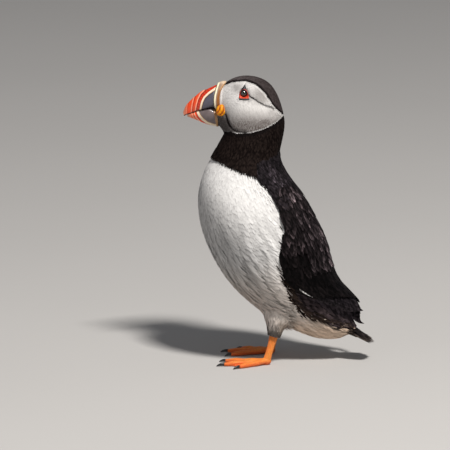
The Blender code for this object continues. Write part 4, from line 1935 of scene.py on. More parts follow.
@dataclass(frozen=True)
class Plumes:
    """The small feathers of head, neck, body and thighs."""

    torso: Torso
    flank_tint: tuple = ((0.007, 0.005, 0.0045), (0.05, 0.034, 0.027))

    def bare(self, bed: Bed) -> Array:
        """Keeps the feathers off the eyes, their plates, the rosettes and the bill.

        Args:
            bed: The torso's bed.

        Returns:
            1 where feathers grow, 0 elsewhere.
        """
        x, _, z = bed.points.T
        rose = np.hypot((x + 51.6) / 4.2, (z - 224.0) / 4.8)
        return (EYE.clear(bed.points) > -0.1) * (rose > 1.0) * (x > MARKS.front(z))

    def streaks(self, bed: Bed, across: float, along: float, seed: float) -> Array:
        """Long clumps that run the way the feathers lie.

        Args:
            bed: The torso's bed.
            across: How close together the clumps are.
            along: How soon they change along the body.
            seed: Moves the pattern.

        Returns:
            Numbers from -1 to 1.
        """
        a, b = bed.turn * across, bed.place * along
        warp = 1.1 * np.sin(b * 1.7 + a * 0.23 + seed) + np.sin(b * 0.9 - a * 0.41 + 2.0 * seed)
        total = np.sin(a + warp) + 0.6 * np.sin(a * 1.9 - b * 0.7 + 1.3 * seed + 1.4 * warp)
        return (total + 0.5 * np.sin(a * 0.47 + b * 1.1 + 3.0 * seed)) / 1.7

    def clumped(self, bed: Bed) -> Array:
        """How far the white feathers part into clumps: little on the upper breast, much on the belly."""
        around = ease(0.3, 1.0, np.abs(bed.turn)) * ease(3.14, 2.6, np.abs(bed.turn))
        return (0.22 + 0.78 * ease(8.4, 10.4, bed.place)) * (0.45 + 0.55 * around)

    def relief(self, bed: Bed) -> Array:
        """Heights of the white feathers' clumps, from -1 to 1."""
        return self.streaks(bed, 34.0, 1.9, 0.7) * self.clumped(bed)

    def near_wing(self, bed: Bed) -> Array:
        """1 along the white's border with the wing, where its feathers lie over the wing's front."""
        inside, z = MARKS.white_depth(bed.points), bed.points[:, 2]
        return ease(6.0, 1.5, inside) * ease(78.0, 95.0, z) * ease(172.0, 160.0, z)

    def near_thigh(self, bed: Bed) -> Array:
        """1 beside the thighs' upper ends, where the belly's feathers hang over them."""
        outside = np.minimum(*(leg.outside(bed.points) for leg in LEGS))
        return ease(8.0, 1.0, outside) * ease(5.0, -2.0, bed.points[:, 0])

    def face_length(self, bed: Bed) -> Array:
        """Short feathers by the bill, the eye and the face's edge, longer ones behind.

        Args:
            bed: The torso's bed.

        Returns:
            A length for each point.
        """
        x, _, z = bed.points.T
        length = 1.5 + 1.2 * ease(-46.0, -8.0, x)
        edge = 0.9 + 0.45 * np.maximum(MARKS.cheek_depth(bed.points), 0.0)
        eye = 0.7 + 0.55 * np.maximum(EYE.clear(bed.points), 0.0)
        front = 0.8 + 0.5 * np.maximum(x - MARKS.front(z), 0.0)
        return np.minimum.reduce((length, edge, eye, front))

    def fitted(self, bed: Bed, length: Array) -> Array:
        """Lengths cut short along the white's border, so that few feathers cross it."""
        return np.minimum(length, 3.4 + 1.1 * np.maximum(MARKS.white_depth(bed.points), 0.0))

    def neck_length(self, bed: Bed) -> Array:
        """Lengths that grow down the neck and shrink towards the white breast."""
        border = 1.5 + 0.8 * np.maximum(-MARKS.white_depth(bed.points), 0.0)
        return np.minimum(3.6 + 0.9 * np.maximum(bed.place - 4.4, 0.0), border)

    def neck(self, bed: Bed) -> Array:
        """Where the neck's dark feathers grow."""
        dark = (MARKS.cheek_depth(bed.points) < -0.8) * (MARKS.white_depth(bed.points) <= -0.4)
        return dark * (bed.place >= 4.4) * (bed.place < 8.2)

    def white(self, bed: Bed, first: float, last: float) -> Array:
        """Where the white feathers between two places grow."""
        return (MARKS.white_depth(bed.points) > -1.5) * (bed.place >= first) * (bed.place < last)

    def head_pieces(self) -> list[CoatPiece]:
        """Plans the face, the crown and the neck.

        Returns:
            The pieces.
        """
        depth = MARKS.cheek_depth
        return [
            CoatPiece(
                "face_feathers", DOWN, 0.43, self.face_length,
                lambda b: self.bare(b) * (depth(b.points) > -0.35) * (b.place < 5.2),
                slim=0.4, turn=0.22, seed=3, height=0.6,
            ),
            CoatPiece(
                "crown_feathers", DOWN, 0.47, lambda b: 1.9 + 0.7 * (b.place > 2.0),
                lambda b: self.bare(b) * (depth(b.points) < -0.8) * (b.place < 4.9),
                slim=0.36, seed=4, height=0.8, faced=False,
            ),
            CoatPiece(
                "neck_feathers", CONTOUR, 0.72, self.neck_length, self.neck, slim=0.27, seed=5, faced=False,
            ),
        ]

    def breast_height(self, bed: Bed) -> Array:
        """How high the breast's feathers stand, in depths of the coat."""
        level = 0.6 + 0.4 * ease(7.5, 10.0, bed.place)
        return level + 0.35 * self.relief(bed) + 0.7 * self.near_wing(bed)

    def belly_height(self, bed: Bed) -> Array:
        """How high the belly's feathers stand, in depths of the coat."""
        return 1.0 + 0.6 * self.relief(bed) + 0.5 * self.near_wing(bed) + 2.2 * self.near_thigh(bed)

    def body_pieces(self) -> list[CoatPiece]:
        """Plans breast, belly, back, rump and flanks.

        Returns:
            The pieces.
        """
        return [
            CoatPiece(
                "breast_feathers", CONTOUR, 0.9, lambda b: self.fitted(b, 6.0 + 0.8 * (b.place - 6.0)),
                lambda b: self.white(b, 5.8, 10.4), slim=0.23, turn=0.15, seed=6, height=self.breast_height,
            ),
            CoatPiece(
                "belly_feathers", CONTOUR, 1.0, lambda b: self.fitted(b, 10.0 + 0.5 * (b.place - 10.0)),
                lambda b: self.white(b, 10.1, math.inf), slim=0.17, turn=0.22, seed=7,
                height=self.belly_height,
            ),
            CoatPiece(
                "back_feathers", RAGGED, 1.35, lambda b: 7.0 + 0.35 * (b.place - 8.0),
                lambda b: (MARKS.white_depth(b.points) <= 0.0) * (b.place >= 7.8),
                slim=0.3, turn=0.28, size=0.3, seed=8, height=1.15,
                fall=lambda b: np.interp(b.place, (12.5, 14.0, 15.2), (0.0, 0.25, -0.2)),
            ),
            CoatPiece(
                "flank_feathers", RAGGED, 1.3,
                lambda b: np.interp(b.place, (9.0, 13.8, 15.2), (9.0, 13.0, 8.0)), self.flank,
                slim=0.1, turn=0.3, size=0.4, seed=9, height=1.5,
                fall=lambda b: np.interp(b.place, (11.5, 13.8, 15.2), (0.15, 0.45, -0.15)),
                tint=self.flank_tint,
            ),
        ]

    def flank(self, bed: Bed) -> Array:
        """Hangs ragged dark feathers over the white, along the wing's front edge.

        Args:
            bed: The torso's bed.

        Returns:
            How densely they grow, from 0 to 1.
        """
        inside = MARKS.white_depth(bed.points)
        edge = np.interp(bed.place, (8.2, 9.6, 11.0, 12.5, 14.4, 15.4), (0.0, 1.6, 3.0, 2.2, 1.2, -0.8))
        part = np.interp(bed.place, (9.0, 11.0, 14.2, 15.4), (0.0, 2.3, 1.8, 0.5))
        edge = edge + part * self.streaks(bed, 21.0, 0.6, 4.0)
        band = (inside > -5.0) * (inside < edge) * (bed.place > 8.2) * (bed.place < 16.6)
        return band * np.interp(bed.place, (8.2, 9.6, 11.0, 16.6), (0.2, 0.5, 1.0, 1.0))

    def lie(self, bed: Bed) -> Array:
        """The way the feathers lie: tailward, but up round the belly's sides and down over the lower cheeks.

        Args:
            bed: The torso's bed.

        Returns:
            A direction for each point.
        """
        side = np.sign(np.sin(bed.turn))
        backward = unit(np.cross(bed.tailward, bed.outward)) * side[:, None]
        up = np.where((backward[:, 2] > 0.0)[:, None], backward, -backward)
        around = np.abs(bed.turn)
        belly = ease(8.0, 10.5, bed.place) * ease(15.5, 13.5, bed.place)
        belly *= ease(3.0, 2.2, around) * ease(0.6, 1.1, around)
        cheek = ease(0.6, 1.6, bed.place) * ease(4.4, 3.2, bed.place)
        cheek *= ease(238.0, 220.0, bed.points[:, 2]) * ease(3.05, 2.4, around)
        cheek *= ease(0.8, 4.5, MARKS.cheek_depth(bed.points))
        angle = (0.5 * belly - 0.75 * cheek)[:, None]
        return bed.tailward * np.cos(angle) + up * np.sin(angle)

    def torso_tone(self, bed: Bed) -> Array:
        """Darkens the gaps between the white feathers' clumps: painted shade.

        Args:
            bed: The torso's bed.

        Returns:
            What each feather's colour is multiplied by.
        """
        white = ease(-0.5, 1.5, MARKS.white_depth(bed.points))
        part = 0.5 - 0.5 * self.relief(bed)
        fine = 0.5 - 0.5 * self.streaks(bed, 88.0, 2.6, 2.1) * self.clumped(bed)
        return 1.0 - white * (0.42 * part * self.clumped(bed) + 0.14 * fine)

    def build(self) -> None:
        """Grows every piece."""
        tree = CoatTree()
        bed = self.torso.bed()
        bed.laid = self.lie(bed)
        # Painted shade between the white feathers' clumps.
        bed.tone = self.torso_tone(bed)
        for piece in self.head_pieces() + self.body_pieces():
            piece.build(tree, bed)
        drop(bed.item)
        for number, leg in enumerate(LEGS):
            bed = leg.bed((0.68 + 0.16 * number, 0.05))
            bed.tone = 0.13 + 0.87 * ease(31.0, 49.0, bed.points[:, 2] + 4.0 * ripple(bed.points, 4.0, 3.0))
            CoatPiece(
                f"thigh_feathers_{leg.side.word}", RAGGED, 0.9, lambda b: 5.0 + 8.0 * b.share,
                lambda b: b.share > 0.0, slim=0.17, turn=0.4, size=0.35, seed=20 + number, height=1.2,
            ).build(tree, bed)
            drop(bed.item)


# ---------------------------------------------------------------- large feathers


@dataclass(frozen=True)
class VaneRow:
    """Large feathers of one kind, each from a root to a tip. Every array has one value for each feather.

    Places and shares are as in WingPlan.turn; widths and heights are in millimetres.
    """

    root: Array
    tip: Array
    width: Array
    level: Array
    rise: float = 1.2
    sink: float = 1.0
    bow: float = 1.0
    rows: int = 9
    columns: int = 5
    cup: float = 0.35
    pointed: float = 0.0
    centre: tuple = (0.006, 0.0046, 0.005)
    # Edge colour: partly worn edges, partly painted sheen.
    rim: tuple = (0.05, 0.039, 0.044)
    rim_share: float = 0.5
    mantle: bool = False
    white: tuple = (0.86, 0.85, 0.83)
    white_from: float = 2.0
    clipped: bool = True

    def kept(self, keep: Array) -> VaneRow:
        """This row with some of its feathers only."""
        return replace(self, **{key: getattr(self, key)[keep] for key in ("root", "tip", "width", "level")})

    def half(self, along: Array) -> Array:
        """Half the vane's breadth.

        Args:
            along: Shares of its length.

        Returns:
            Shares of the full half breadth.
        """
        body = np.minimum(1.0, 0.35 + along * 2.4)
        start = 0.55 + 0.1 * self.pointed
        end = np.clip((along - start) / (1.0 - start), 0.0, 1.0)
        blunt, sharp = np.sqrt(np.maximum(1.0 - end**2, 0.0)), 1.0 - end**1.3
        return body * (blunt * (1.0 - self.pointed) + sharp * self.pointed)

    def colours(self, along: Array, edges: Array, own: Array) -> Array:
        """Colours that are dark in the middle and pale at the edges and the tip, partly worn edges and partly
        painted sheen.

        Args:
            along: A column of shares of the length.
            edges: Places across, from -1 to 1.
            own: How pale each feather's edges are and how bright it is, from 0 to 1.

        Returns:
            A colour for each point, feathers by rows by columns.
        """
        share = (along * np.ones_like(edges))[None]
        fade = np.maximum(np.abs(edges) ** 2.5, share**4)
        # Pale edges, partly wear and partly painted sheen, strong on some feathers only.
        pale_edge = fade * self.rim_share * (0.12 + 2.2 * own[:, None, None] ** 2)
        bright = 0.6 + 0.7 * own[:, None, None, None]
        colours = blend(self.centre, self.rim, np.clip(pale_edge, 0.0, 1.0)) * bright
        return blend(colours, self.white, ease(self.white_from, self.white_from + 0.06, share))


@dataclass(frozen=True)
class Wings:
    """The folded wings' and the back's large feathers, in rows over each other."""

    torso: Torso
    seed: int = 77
    hang: float = 0.95
    trail: float = 1.9

    def surface(self, side: Side, places: Array, turns: Array, height: Array) -> Array:
        """Points over the folded wing. The right wing hangs a little lower behind.

        Args:
            side: Which wing.
            places: Where along the body.
            turns: The angle from the back, on both sides.
            height: How high over the wing's own surface.

        Returns:
            A point for each place.
        """
        late = ease(12.8, 16.6, places) * (side is Side.RIGHT)
        sunk = turns + self.hang * late * (0.35 + 0.65 * ease(13.0, 16.5, places))
        lifted = WING.spread(places, sunk - self.hang * late)
        back = np.clip(places + self.trail * late, 0.0, len(FORM.stations) - 1.1)
        return FORM.surface(back, sunk * side.value, -height, lifted)

    def path(self, row: VaneRow) -> tuple[Array, Array, Array, Array]:
        """The feathers' middle lines.

        Args:
            row: The feathers.

        Returns:
            Shares along, places, turns and heights, each steps by feathers.
        """
        along = 1.0 - (1.0 - np.linspace(0.0, 1.0, row.rows)[:, None]) ** 1.5
        place = row.root[None, :, 0] + (row.tip - row.root)[None, :, 0] * along
        share = row.root[None, :, 1] + (row.tip - row.root)[None, :, 1] * along**row.bow
        turn = 1.12 * (1.0 - share) if row.mantle else WING.turn(place, share)
        height = row.level[None, :] - row.sink + (row.rise + row.sink) * (1.0 - (1.0 - along) ** 2)
        return along, place, turn, np.broadcast_to(height, place.shape)

    def clip(self, side: Side, row: VaneRow) -> VaneRow:
        """Leaves out the feathers that would lie over the white breast.

        Args:
            side: Which wing.
            row: The feathers.

        Returns:
            Those that stay.
        """
        if not row.clipped:
            return row
        _, *lines = self.path(row)
        ends = self.surface(side, *(line[[0, -1]] for line in lines))
        inside = np.maximum(*(MARKS.white_depth(end) for end in ends))
        return row.kept(inside + 0.45 * row.width < 1.2)

    def sideways(self, side: Side, place: Array, turn: Array, height: Array) -> tuple[Array, Array, Array]:
        """Finds the way across feathers on the wing's curved surface.

        Args:
            side: Which wing.
            place: The middle lines' places.
            turn: Their turns.
            height: Their heights.

        Returns:
            The middle lines' points, and how much place and turn change for a millimetre across.
        """
        step = 0.01
        middle = self.surface(side, place, turn, height)
        by_place = (self.surface(side, place + step, turn, height) - middle) / step
        by_turn = (self.surface(side, place, turn + step, height) - middle) / step
        outward = unit(np.cross(by_place, by_turn)) * side.value
        across = unit(np.cross(outward, unit(np.gradient(middle, axis=0))))
        ee, ff = (by_place**2).sum(-1), (by_turn**2).sum(-1)
        pairs = ((by_place, by_turn), (across, by_place), (across, by_turn))
        ef, ce, cf = ((first * second).sum(-1) for first, second in pairs)
        spin = ee * ff - ef * ef
        return middle, (ce * ff - cf * ef) / spin, (cf * ee - ce * ef) / spin

    def lay(self, side: Side, row: VaneRow) -> tuple[Array, ...]:
        """Lays a row's feathers on the wing.

        Args:
            side: Which wing.
            row: The feathers.

        Returns:
            What vane_set gives.
        """
        chance = np.random.default_rng(self.seed + int(row.root[0, 0] * 100.0))
        row = self.clip(side, row)
        along, place, turn, height = self.path(row)
        middle, to_place, to_turn = self.sideways(side, place, turn, height)
        edges = np.linspace(-1.0, 1.0, row.columns)
        half = row.half(along) * row.width[None, :] / 2.0
        lines = []
        for edge in edges:
            reach = half * edge
            level = height - row.cup * edge * edge * np.minimum(half, 2.0) * 0.5
            lines.append(self.surface(side, place + to_place * reach, turn + to_turn * reach, level))
        points = np.stack(lines, axis=2).transpose(1, 0, 2, 3)
        own = chance.random(len(row.width))
        # The painted sheen and pale edges come in patches, and fade up the mantle.
        own = np.clip(own * (0.62 + 0.6 * ripple(middle[row.rows // 2], 16.0, 5.0)), 0.0, 1.0)
        if row.mantle:
            own *= ease(194.0, 172.0, middle[0, :, 2]) * (0.35 + 0.65 * ease(0.0, 0.35, row.root[:, 1]))
        spots = self.torso.unwrapped(place[0], turn[0] * side.value)
        lengths = np.linalg.norm(middle[-1] - middle[0], axis=-1)
        return vane_set(points, along[:, 0], edges, lengths, row.colours(along, edges, own), spots, True)

    def rows(self) -> list[VaneRow]:
        """Every row from the lowest layer to the highest.

        Returns:
            The rows.
        """
        large = ((12.1, 1.5), (11.6, 1.3), (11.1, 1.15), (10.7, 1.0))
        return [
            self.primaries(), self.secondaries(), self.fleck(),
            *(self.coverts(place, length, 0.03, 17) for place, length in large),
            *(self.coverts(float(place), 0.62, 0.02, 27) for place in np.arange(10.4, 8.2, -0.2)),
            *(self.scapulars(float(place)) for place in np.arange(11.3, 8.6, -0.3)),
            *(self.mantle(float(place)) for place in np.arange(8.9, 6.3, -0.17)),
        ]

    def mantle(self, place: float) -> VaneRow:
        """The small back feathers between neck and wings.

        Args:
            place: Where the row's roots are.

        Returns:
            The row.
        """
        count = 22
        share = self.spaced(count, 0.0, 0.4, place + 0.25)
        draw = np.random.default_rng(int(place * 71)).uniform
        root = np.stack((place + draw(-0.12, 0.12, count) - 0.3 * share, share), axis=-1)
        tip = root + np.stack((0.5 * draw(0.85, 1.15, count), draw(-0.02, 0.02, count)), axis=-1)
        level = np.interp(place, (6.3, 7.6, 8.8), (0.3, 1.0, 2.3)) + draw(-0.2, 0.2, count)
        width = np.interp(place, (6.3, 8.8), (2.8, 4.0)) * draw(0.8, 1.2, count)
        return VaneRow(
            root, tip, width, level, rise=0.6, rim=(0.10, 0.082, 0.098), mantle=True, rows=7, cup=0.6,
            rim_share=0.55, centre=(0.0145, 0.0115, 0.0135),
        )

    def spaced(self, count: int, low: float, jitter: float, seed: float) -> Array:
        """Shares from low to 1, evenly spaced with a little disorder.

        Args:
            count: How many.
            low: The lowest.
            jitter: How far each may move, as a share of the space between two.
            seed: Where the draws start.

        Returns:
            The shares.
        """
        chance = np.random.default_rng(int(seed * 100))
        step = (1.0 - low) / (count - 1)
        return np.linspace(low, 1.0, count) + chance.uniform(-jitter, jitter, count) * step

    def primaries(self) -> VaneRow:
        """The long flight feathers that make the wing's point.

        Returns:
            The row.
        """
        number = np.arange(10.0)
        root = np.stack((12.3 + 0.05 * number, 0.06 + 0.08 * number), axis=-1)
        tip = np.stack((16.56 - 0.24 * number, np.minimum(0.42 + 0.085 * number, 0.86)), axis=-1)
        return VaneRow(
            root, tip, 6.6 - 0.15 * number, 0.3 + 0.22 * number, rise=0.2, sink=0.6, bow=1.25, rows=30,
            columns=9, cup=0.3, pointed=0.75, centre=(0.0055, 0.0045, 0.0055), rim=(0.075, 0.06, 0.068),
            rim_share=0.55, clipped=False,
        )

    def secondaries(self) -> VaneRow:
        """The shorter flight feathers over them.

        Returns:
            The row.
        """
        number = np.arange(9.0)
        root = np.stack((11.3 + 0.12 * number, 0.07 + 0.1 * number), axis=-1)
        tip = np.stack((13.3 + 0.2 * number, 0.03 + 0.1 * number), axis=-1)
        return VaneRow(
            root, tip, np.full(len(number), 7.4), 1.9 + 0.16 * number, rise=0.5, sink=1.2, rows=22, columns=7,
            cup=0.3, centre=(0.0045, 0.0035, 0.004), rim=(0.036, 0.027, 0.026),
        )

    def fleck(self) -> VaneRow:
        """The white ends of the lowest secondaries, a thin line along the wing's lower edge.

        Returns:
            The row.
        """
        root = np.array(((12.0, 0.03), (12.15, 0.028), (12.3, 0.024)))
        tip = np.array(((13.2, 0.035), (13.45, 0.03), (13.52, 0.025)))
        width = np.array((0.4, 1.3, 0.4))
        return VaneRow(
            root, tip, width, np.array((2.5, 2.65, 2.45)), rise=0.5, sink=1.0, rows=20, columns=5, cup=0.3,
            pointed=0.5, white_from=0.52, clipped=False,
        )

    def coverts(self, place: float, length: float, low: float, count: int) -> VaneRow:
        """A row of coverts across the wing, large ones behind and small ones before.

        Args:
            place: Where its roots are.
            length: Its length in places.
            low: The share nearest the lower edge.
            count: How many feathers.

        Returns:
            The row.
        """
        share = self.spaced(count, low, 0.35, place)
        draw = np.random.default_rng(int(place * 53)).uniform
        root = np.stack((place + draw(-0.1, 0.1, count) + 0.3 * share, share), axis=-1)
        tip = root + np.stack((length * draw(0.9, 1.1, count), draw(-0.02, 0.02, count)), axis=-1)
        large = place > 10.5
        width = (6.4 if large else 4.4) * draw(0.85, 1.15, count)
        level = 2.1 - 0.05 * (12.0 - place) + draw(-0.15, 0.15, count)
        row = VaneRow(root, tip, width, level, rise=1.0, sink=1.6, pointed=0.2)
        if large:
            return replace(row, centre=(0.003, 0.0023, 0.0025), rim=(0.016, 0.012, 0.0125), rows=10)
        return replace(row, centre=(0.006, 0.0045, 0.005), rim=(0.10, 0.076, 0.082), rim_share=0.6, rows=8)

    def scapulars(self, place: float) -> VaneRow:
        """The soft shoulder feathers that lie over the wing's upper half.

        Args:
            place: Where the row's roots are.

        Returns:
            The row.
        """
        count = 11
        share = self.spaced(count, 0.4, 0.4, place + 0.5)
        draw = np.random.default_rng(int(place * 91)).uniform
        root = np.stack((place + draw(-0.15, 0.15, count), share), axis=-1)
        length = np.interp(place, (8.4, 11.0, 12.4), (0.7, 0.95, 1.1))
        tip = root + np.stack((length * draw(0.85, 1.15, count), draw(-0.06, 0.02, count)), axis=-1)
        level = 2.7 + draw(-0.25, 0.25, count)
        return VaneRow(
            root, tip, 4.9 * draw(0.8, 1.2, count), level, rise=1.0, sink=1.6, rim=(0.19, 0.148, 0.16),
            rim_share=0.6, cup=0.5, centre=(0.006, 0.0046, 0.0052), pointed=0.25,
        )

    def build(self) -> None:
        """Makes both wings."""
        for side in Side:
            vane_piece(f"wing_feathers_{side.word}", [self.lay(side, row) for row in self.rows()])


def vane_set(points: Array, along: Array, edges: Array, lengths: Array, colours: Array, spots: Array,
             flip: bool) -> tuple[Array, ...]:
    """Readies large feathers, each a grid of points, for their piece.

    Args:
        points: Feathers by rows by columns by three coordinates.
        along: Each row's share of the length.
        edges: Each column's place across, from -1 to 1.
        lengths: Each feather's length.
        colours: A colour for each point.
        spots: Each feather's place on the unwrap.
        flip: Whether its faces are turned over.

    Returns:
        Points, blades (across and along), colours, patches and faces, each as rows.
    """
    count, rows, columns = points.shape[:3]
    blade = np.zeros(points.shape)
    blade[..., 0] = edges
    blade[..., 1] = along[:, None] * lengths[:, None, None] / 10.0
    over = edges[:, None] * (0.5, 0.0) + (along[:, None, None] - 0.5) * (0.0, 1.0)
    patch = spots[:, None, None, :] + over * PATCH
    quads = grid_faces(rows, columns)[:, :: -1 if flip else 1]
    faces = quads + (np.arange(count) * rows * columns)[:, None, None]
    return tuple(part.reshape(-1, part.shape[-1]) for part in (points, blade, colours, patch, faces))


def vane_piece(name: str, sets: Sequence[tuple[Array, ...]], *nodes: str) -> None:
    """Makes one piece of many large feathers.

    Args:
        name: The piece's name.
        sets: What vane_set gave, set after set.
        nodes: The CAD nodes that it stands for.
    """
    counts = np.cumsum([0] + [len(part[0]) for part in sets[:-1]])
    points, blade, colours, patch = (np.concatenate([part[k] for part in sets]) for k in range(4))
    faces = np.concatenate([part[4] + start for part, start in zip(sets, counts)])
    mesh = new_mesh(name, points, faces)
    store(mesh, "blade", blade)
    paint(mesh, colours)
    store(mesh, "OFBake", patch[faces.ravel()])
    finished(name, mesh, QUILLED, *nodes)


@dataclass(frozen=True)
class TailLayer:
    """Feathers side by side over or under the tail: where they start and end as shares of its length."""

    above: bool
    seed: int
    patch: float
    start: float = 0.1
    end: float = 1.0
    count: int = 16
    half: float = 2.9
    spread: tuple[float, float] = (5.0, 13.4)
    proud: tuple[float, float] = (0.0, 0.0)
    centre: tuple = (0.005, 0.0038, 0.0038)
    rim: tuple = (0.17, 0.13, 0.115)


@dataclass(frozen=True)
class Tail:
    """The short tail: a thin wedge of skin under layers of feathers."""

    root: tuple = (48.0, 33.0)
    tip: tuple = (82.9, 15.4)
    reach: tuple[float, ...] = (0.0, 0.3, 0.55, 0.78, 0.92, 1.0)
    spread: tuple[float, ...] = (13.0, 15.5, 17.5, 18.0, 16.0, 10.0)
    depth: tuple[float, ...] = (3.6, 3.8, 3.4, 2.7, 1.8, 0.6)
    rows: int = 20
    columns: int = 7
    layers: tuple[TailLayer, ...] = (
        TailLayer(True, 5, 0.6),
        TailLayer(False, 6, 0.7, rim=(0.10, 0.08, 0.07)),
        TailLayer(True, 7, 0.64, 0.25, 0.84, 12, 2.9, (4.0, 9.5), (3.6, 0.5), rim=(0.06, 0.046, 0.045)),
        TailLayer(True, 8, 0.66, 0.2, 0.72, 11, 2.9, (3.6, 8.0), (4.8, 1.0), rim=(0.05, 0.038, 0.038)),
        # The undertail coverts' tan is painted shade on white feathers.
        TailLayer(
            False, 9, 0.74, 0.15, 0.66, 11, 3.0, (3.6, 8.0), (2.6, 0.7),
            (0.22, 0.165, 0.13), (0.36, 0.28, 0.22),
        ),
    )

    def axes(self) -> tuple[Array, Array, Array]:
        """The tail's root, the way to its tip and the way up from it, in the plane of symmetry."""
        ahead = unit(np.array(self.tip) - self.root)
        return np.array(self.root), ahead, np.array((-ahead[1], ahead[0]))

    def skin(self) -> Mesh:
        """The wedge inside the feathers.

        Returns:
            A closed mesh.
        """
        share = np.linspace(0.0, 0.8, 16)
        root, _, up = self.axes()
        path = root + (np.array(self.tip) - root) * share[:, None]
        turns = circle(28)
        half = np.interp(share, self.reach, self.spread) - 4.0
        deep = (np.interp(share, self.reach, self.depth) - 1.3) / 2.0 * np.linspace(1.0, 0.35, 16)
        flat = path[:, None] + up * (deep[:, None] * np.cos(turns))[..., None]
        wide = half[:, None] * np.sin(turns)
        return closed_loft("tail_skin", np.stack((flat[..., 0], wide, flat[..., 1]), axis=-1))

    def layer(self, kind: TailLayer) -> tuple[Array, ...]:
        """Lays one layer of tail feathers.

        Args:
            kind: The layer.

        Returns:
            What vane_set gives.
        """
        count = kind.count
        chance = np.random.default_rng(kind.seed)
        fan = np.linspace(-1.0, 1.0, count)
        along = np.linspace(0.0, 1.0, self.rows)
        edges = np.linspace(-1.0, 1.0, self.columns)
        root, ahead, up = self.axes()
        whole = np.linalg.norm(np.array(self.tip) - root)
        short = 0.13 * np.abs(fan) ** 2.0 + chance.uniform(0.0, 0.05, count) * (np.abs(fan) > 0.15)
        reach = whole * (kind.start + (kind.end - kind.start - short)[:, None] * along[None, :])
        y = fan[:, None] * np.interp(along**0.8, (0.0, 1.0), kind.spread)[None, :]
        end = np.clip((along - 0.55) / 0.45, 0.0, 1.0)
        taper = 0.4 * np.sqrt(1.0 - end**2) + 0.6 * (1.0 - end**1.3)
        half = kind.half * np.minimum(1.0, 0.4 + along * 2.0) * taper
        level = np.interp(reach / whole, self.reach, self.depth) / 2.0 - 0.25
        loose = chance.uniform(-1.0, 1.0, count)[:, None] * along**2 * 0.8
        proud = np.interp(along, (0.0, 1.0), kind.proud)
        lift = level + proud - 0.3 + 0.5 * (1.0 - np.abs(fan))[:, None] + loose
        lift = np.clip(lift[..., None] - 0.22 * edges**2 * half[None, :, None], 0.1, 2.6 + max(kind.proud))
        wide = y[..., None] + half[None, :, None] * edges
        above = up * (1.0 if kind.above else -1.0)
        flat = root + ahead * reach[..., None, None] + above * lift[..., None]
        points = np.stack((flat[..., 0], wide, flat[..., 1]), axis=-1)
        pale_edge = np.maximum(np.abs(edges)[None, :] ** 2.5, along[:, None] ** 9) * ease(0.1, 0.8, along)[:, None]
        pale_edge = pale_edge * chance.uniform(0.15, 1.0, count)[:, None, None]
        spots = np.stack((0.70 + 0.1 * (fan + 1.0), np.full(count, kind.patch)), axis=-1)
        colours = blend(kind.centre, kind.rim, pale_edge)
        return vane_set(points, along, edges, np.full(count, whole), colours, spots, kind.above)

    def build(self) -> None:
        """Makes every layer."""
        vane_piece("tail_feathers", [self.layer(kind) for kind in self.layers], "tail")


TAIL = Tail()


# ---------------------------------------------------------------- bill


@dataclass(frozen=True)
class Slice:
    """A section of one half of the bill: its lowest and highest point and half its breadth."""

    low: tuple[float, float]
    high: tuple[float, float]
    half: float


@dataclass(frozen=True)
class BillShades:
    """Colours of the bill's plates."""

    cream: tuple = (0.86, 0.71, 0.52)
    grey: tuple = (0.085, 0.080, 0.105)
    grey_low: tuple = (0.14, 0.11, 0.112)
    deep_red: tuple = (0.52, 0.022, 0.004)
    red: tuple = (0.80, 0.062, 0.010)
    coral: tuple = (0.78, 0.10, 0.026)
    rose: tuple = (0.84, 0.25, 0.125)
    # Pale lines on the ridges: painted highlights.
    streak: tuple = (0.93, 0.52, 0.36)
    tip: tuple = (0.62, 0.30, 0.19)
    orange: tuple = (0.26, 0.098, 0.022)
    ridge: tuple = (0.34, 0.235, 0.17)
    ridge_cream: tuple = (0.93, 0.85, 0.60)
    tan: tuple = (0.38, 0.20, 0.08)
    # Painted shade in the bill's grooves, dips and gape.
    groove: tuple = (0.022, 0.008, 0.006)


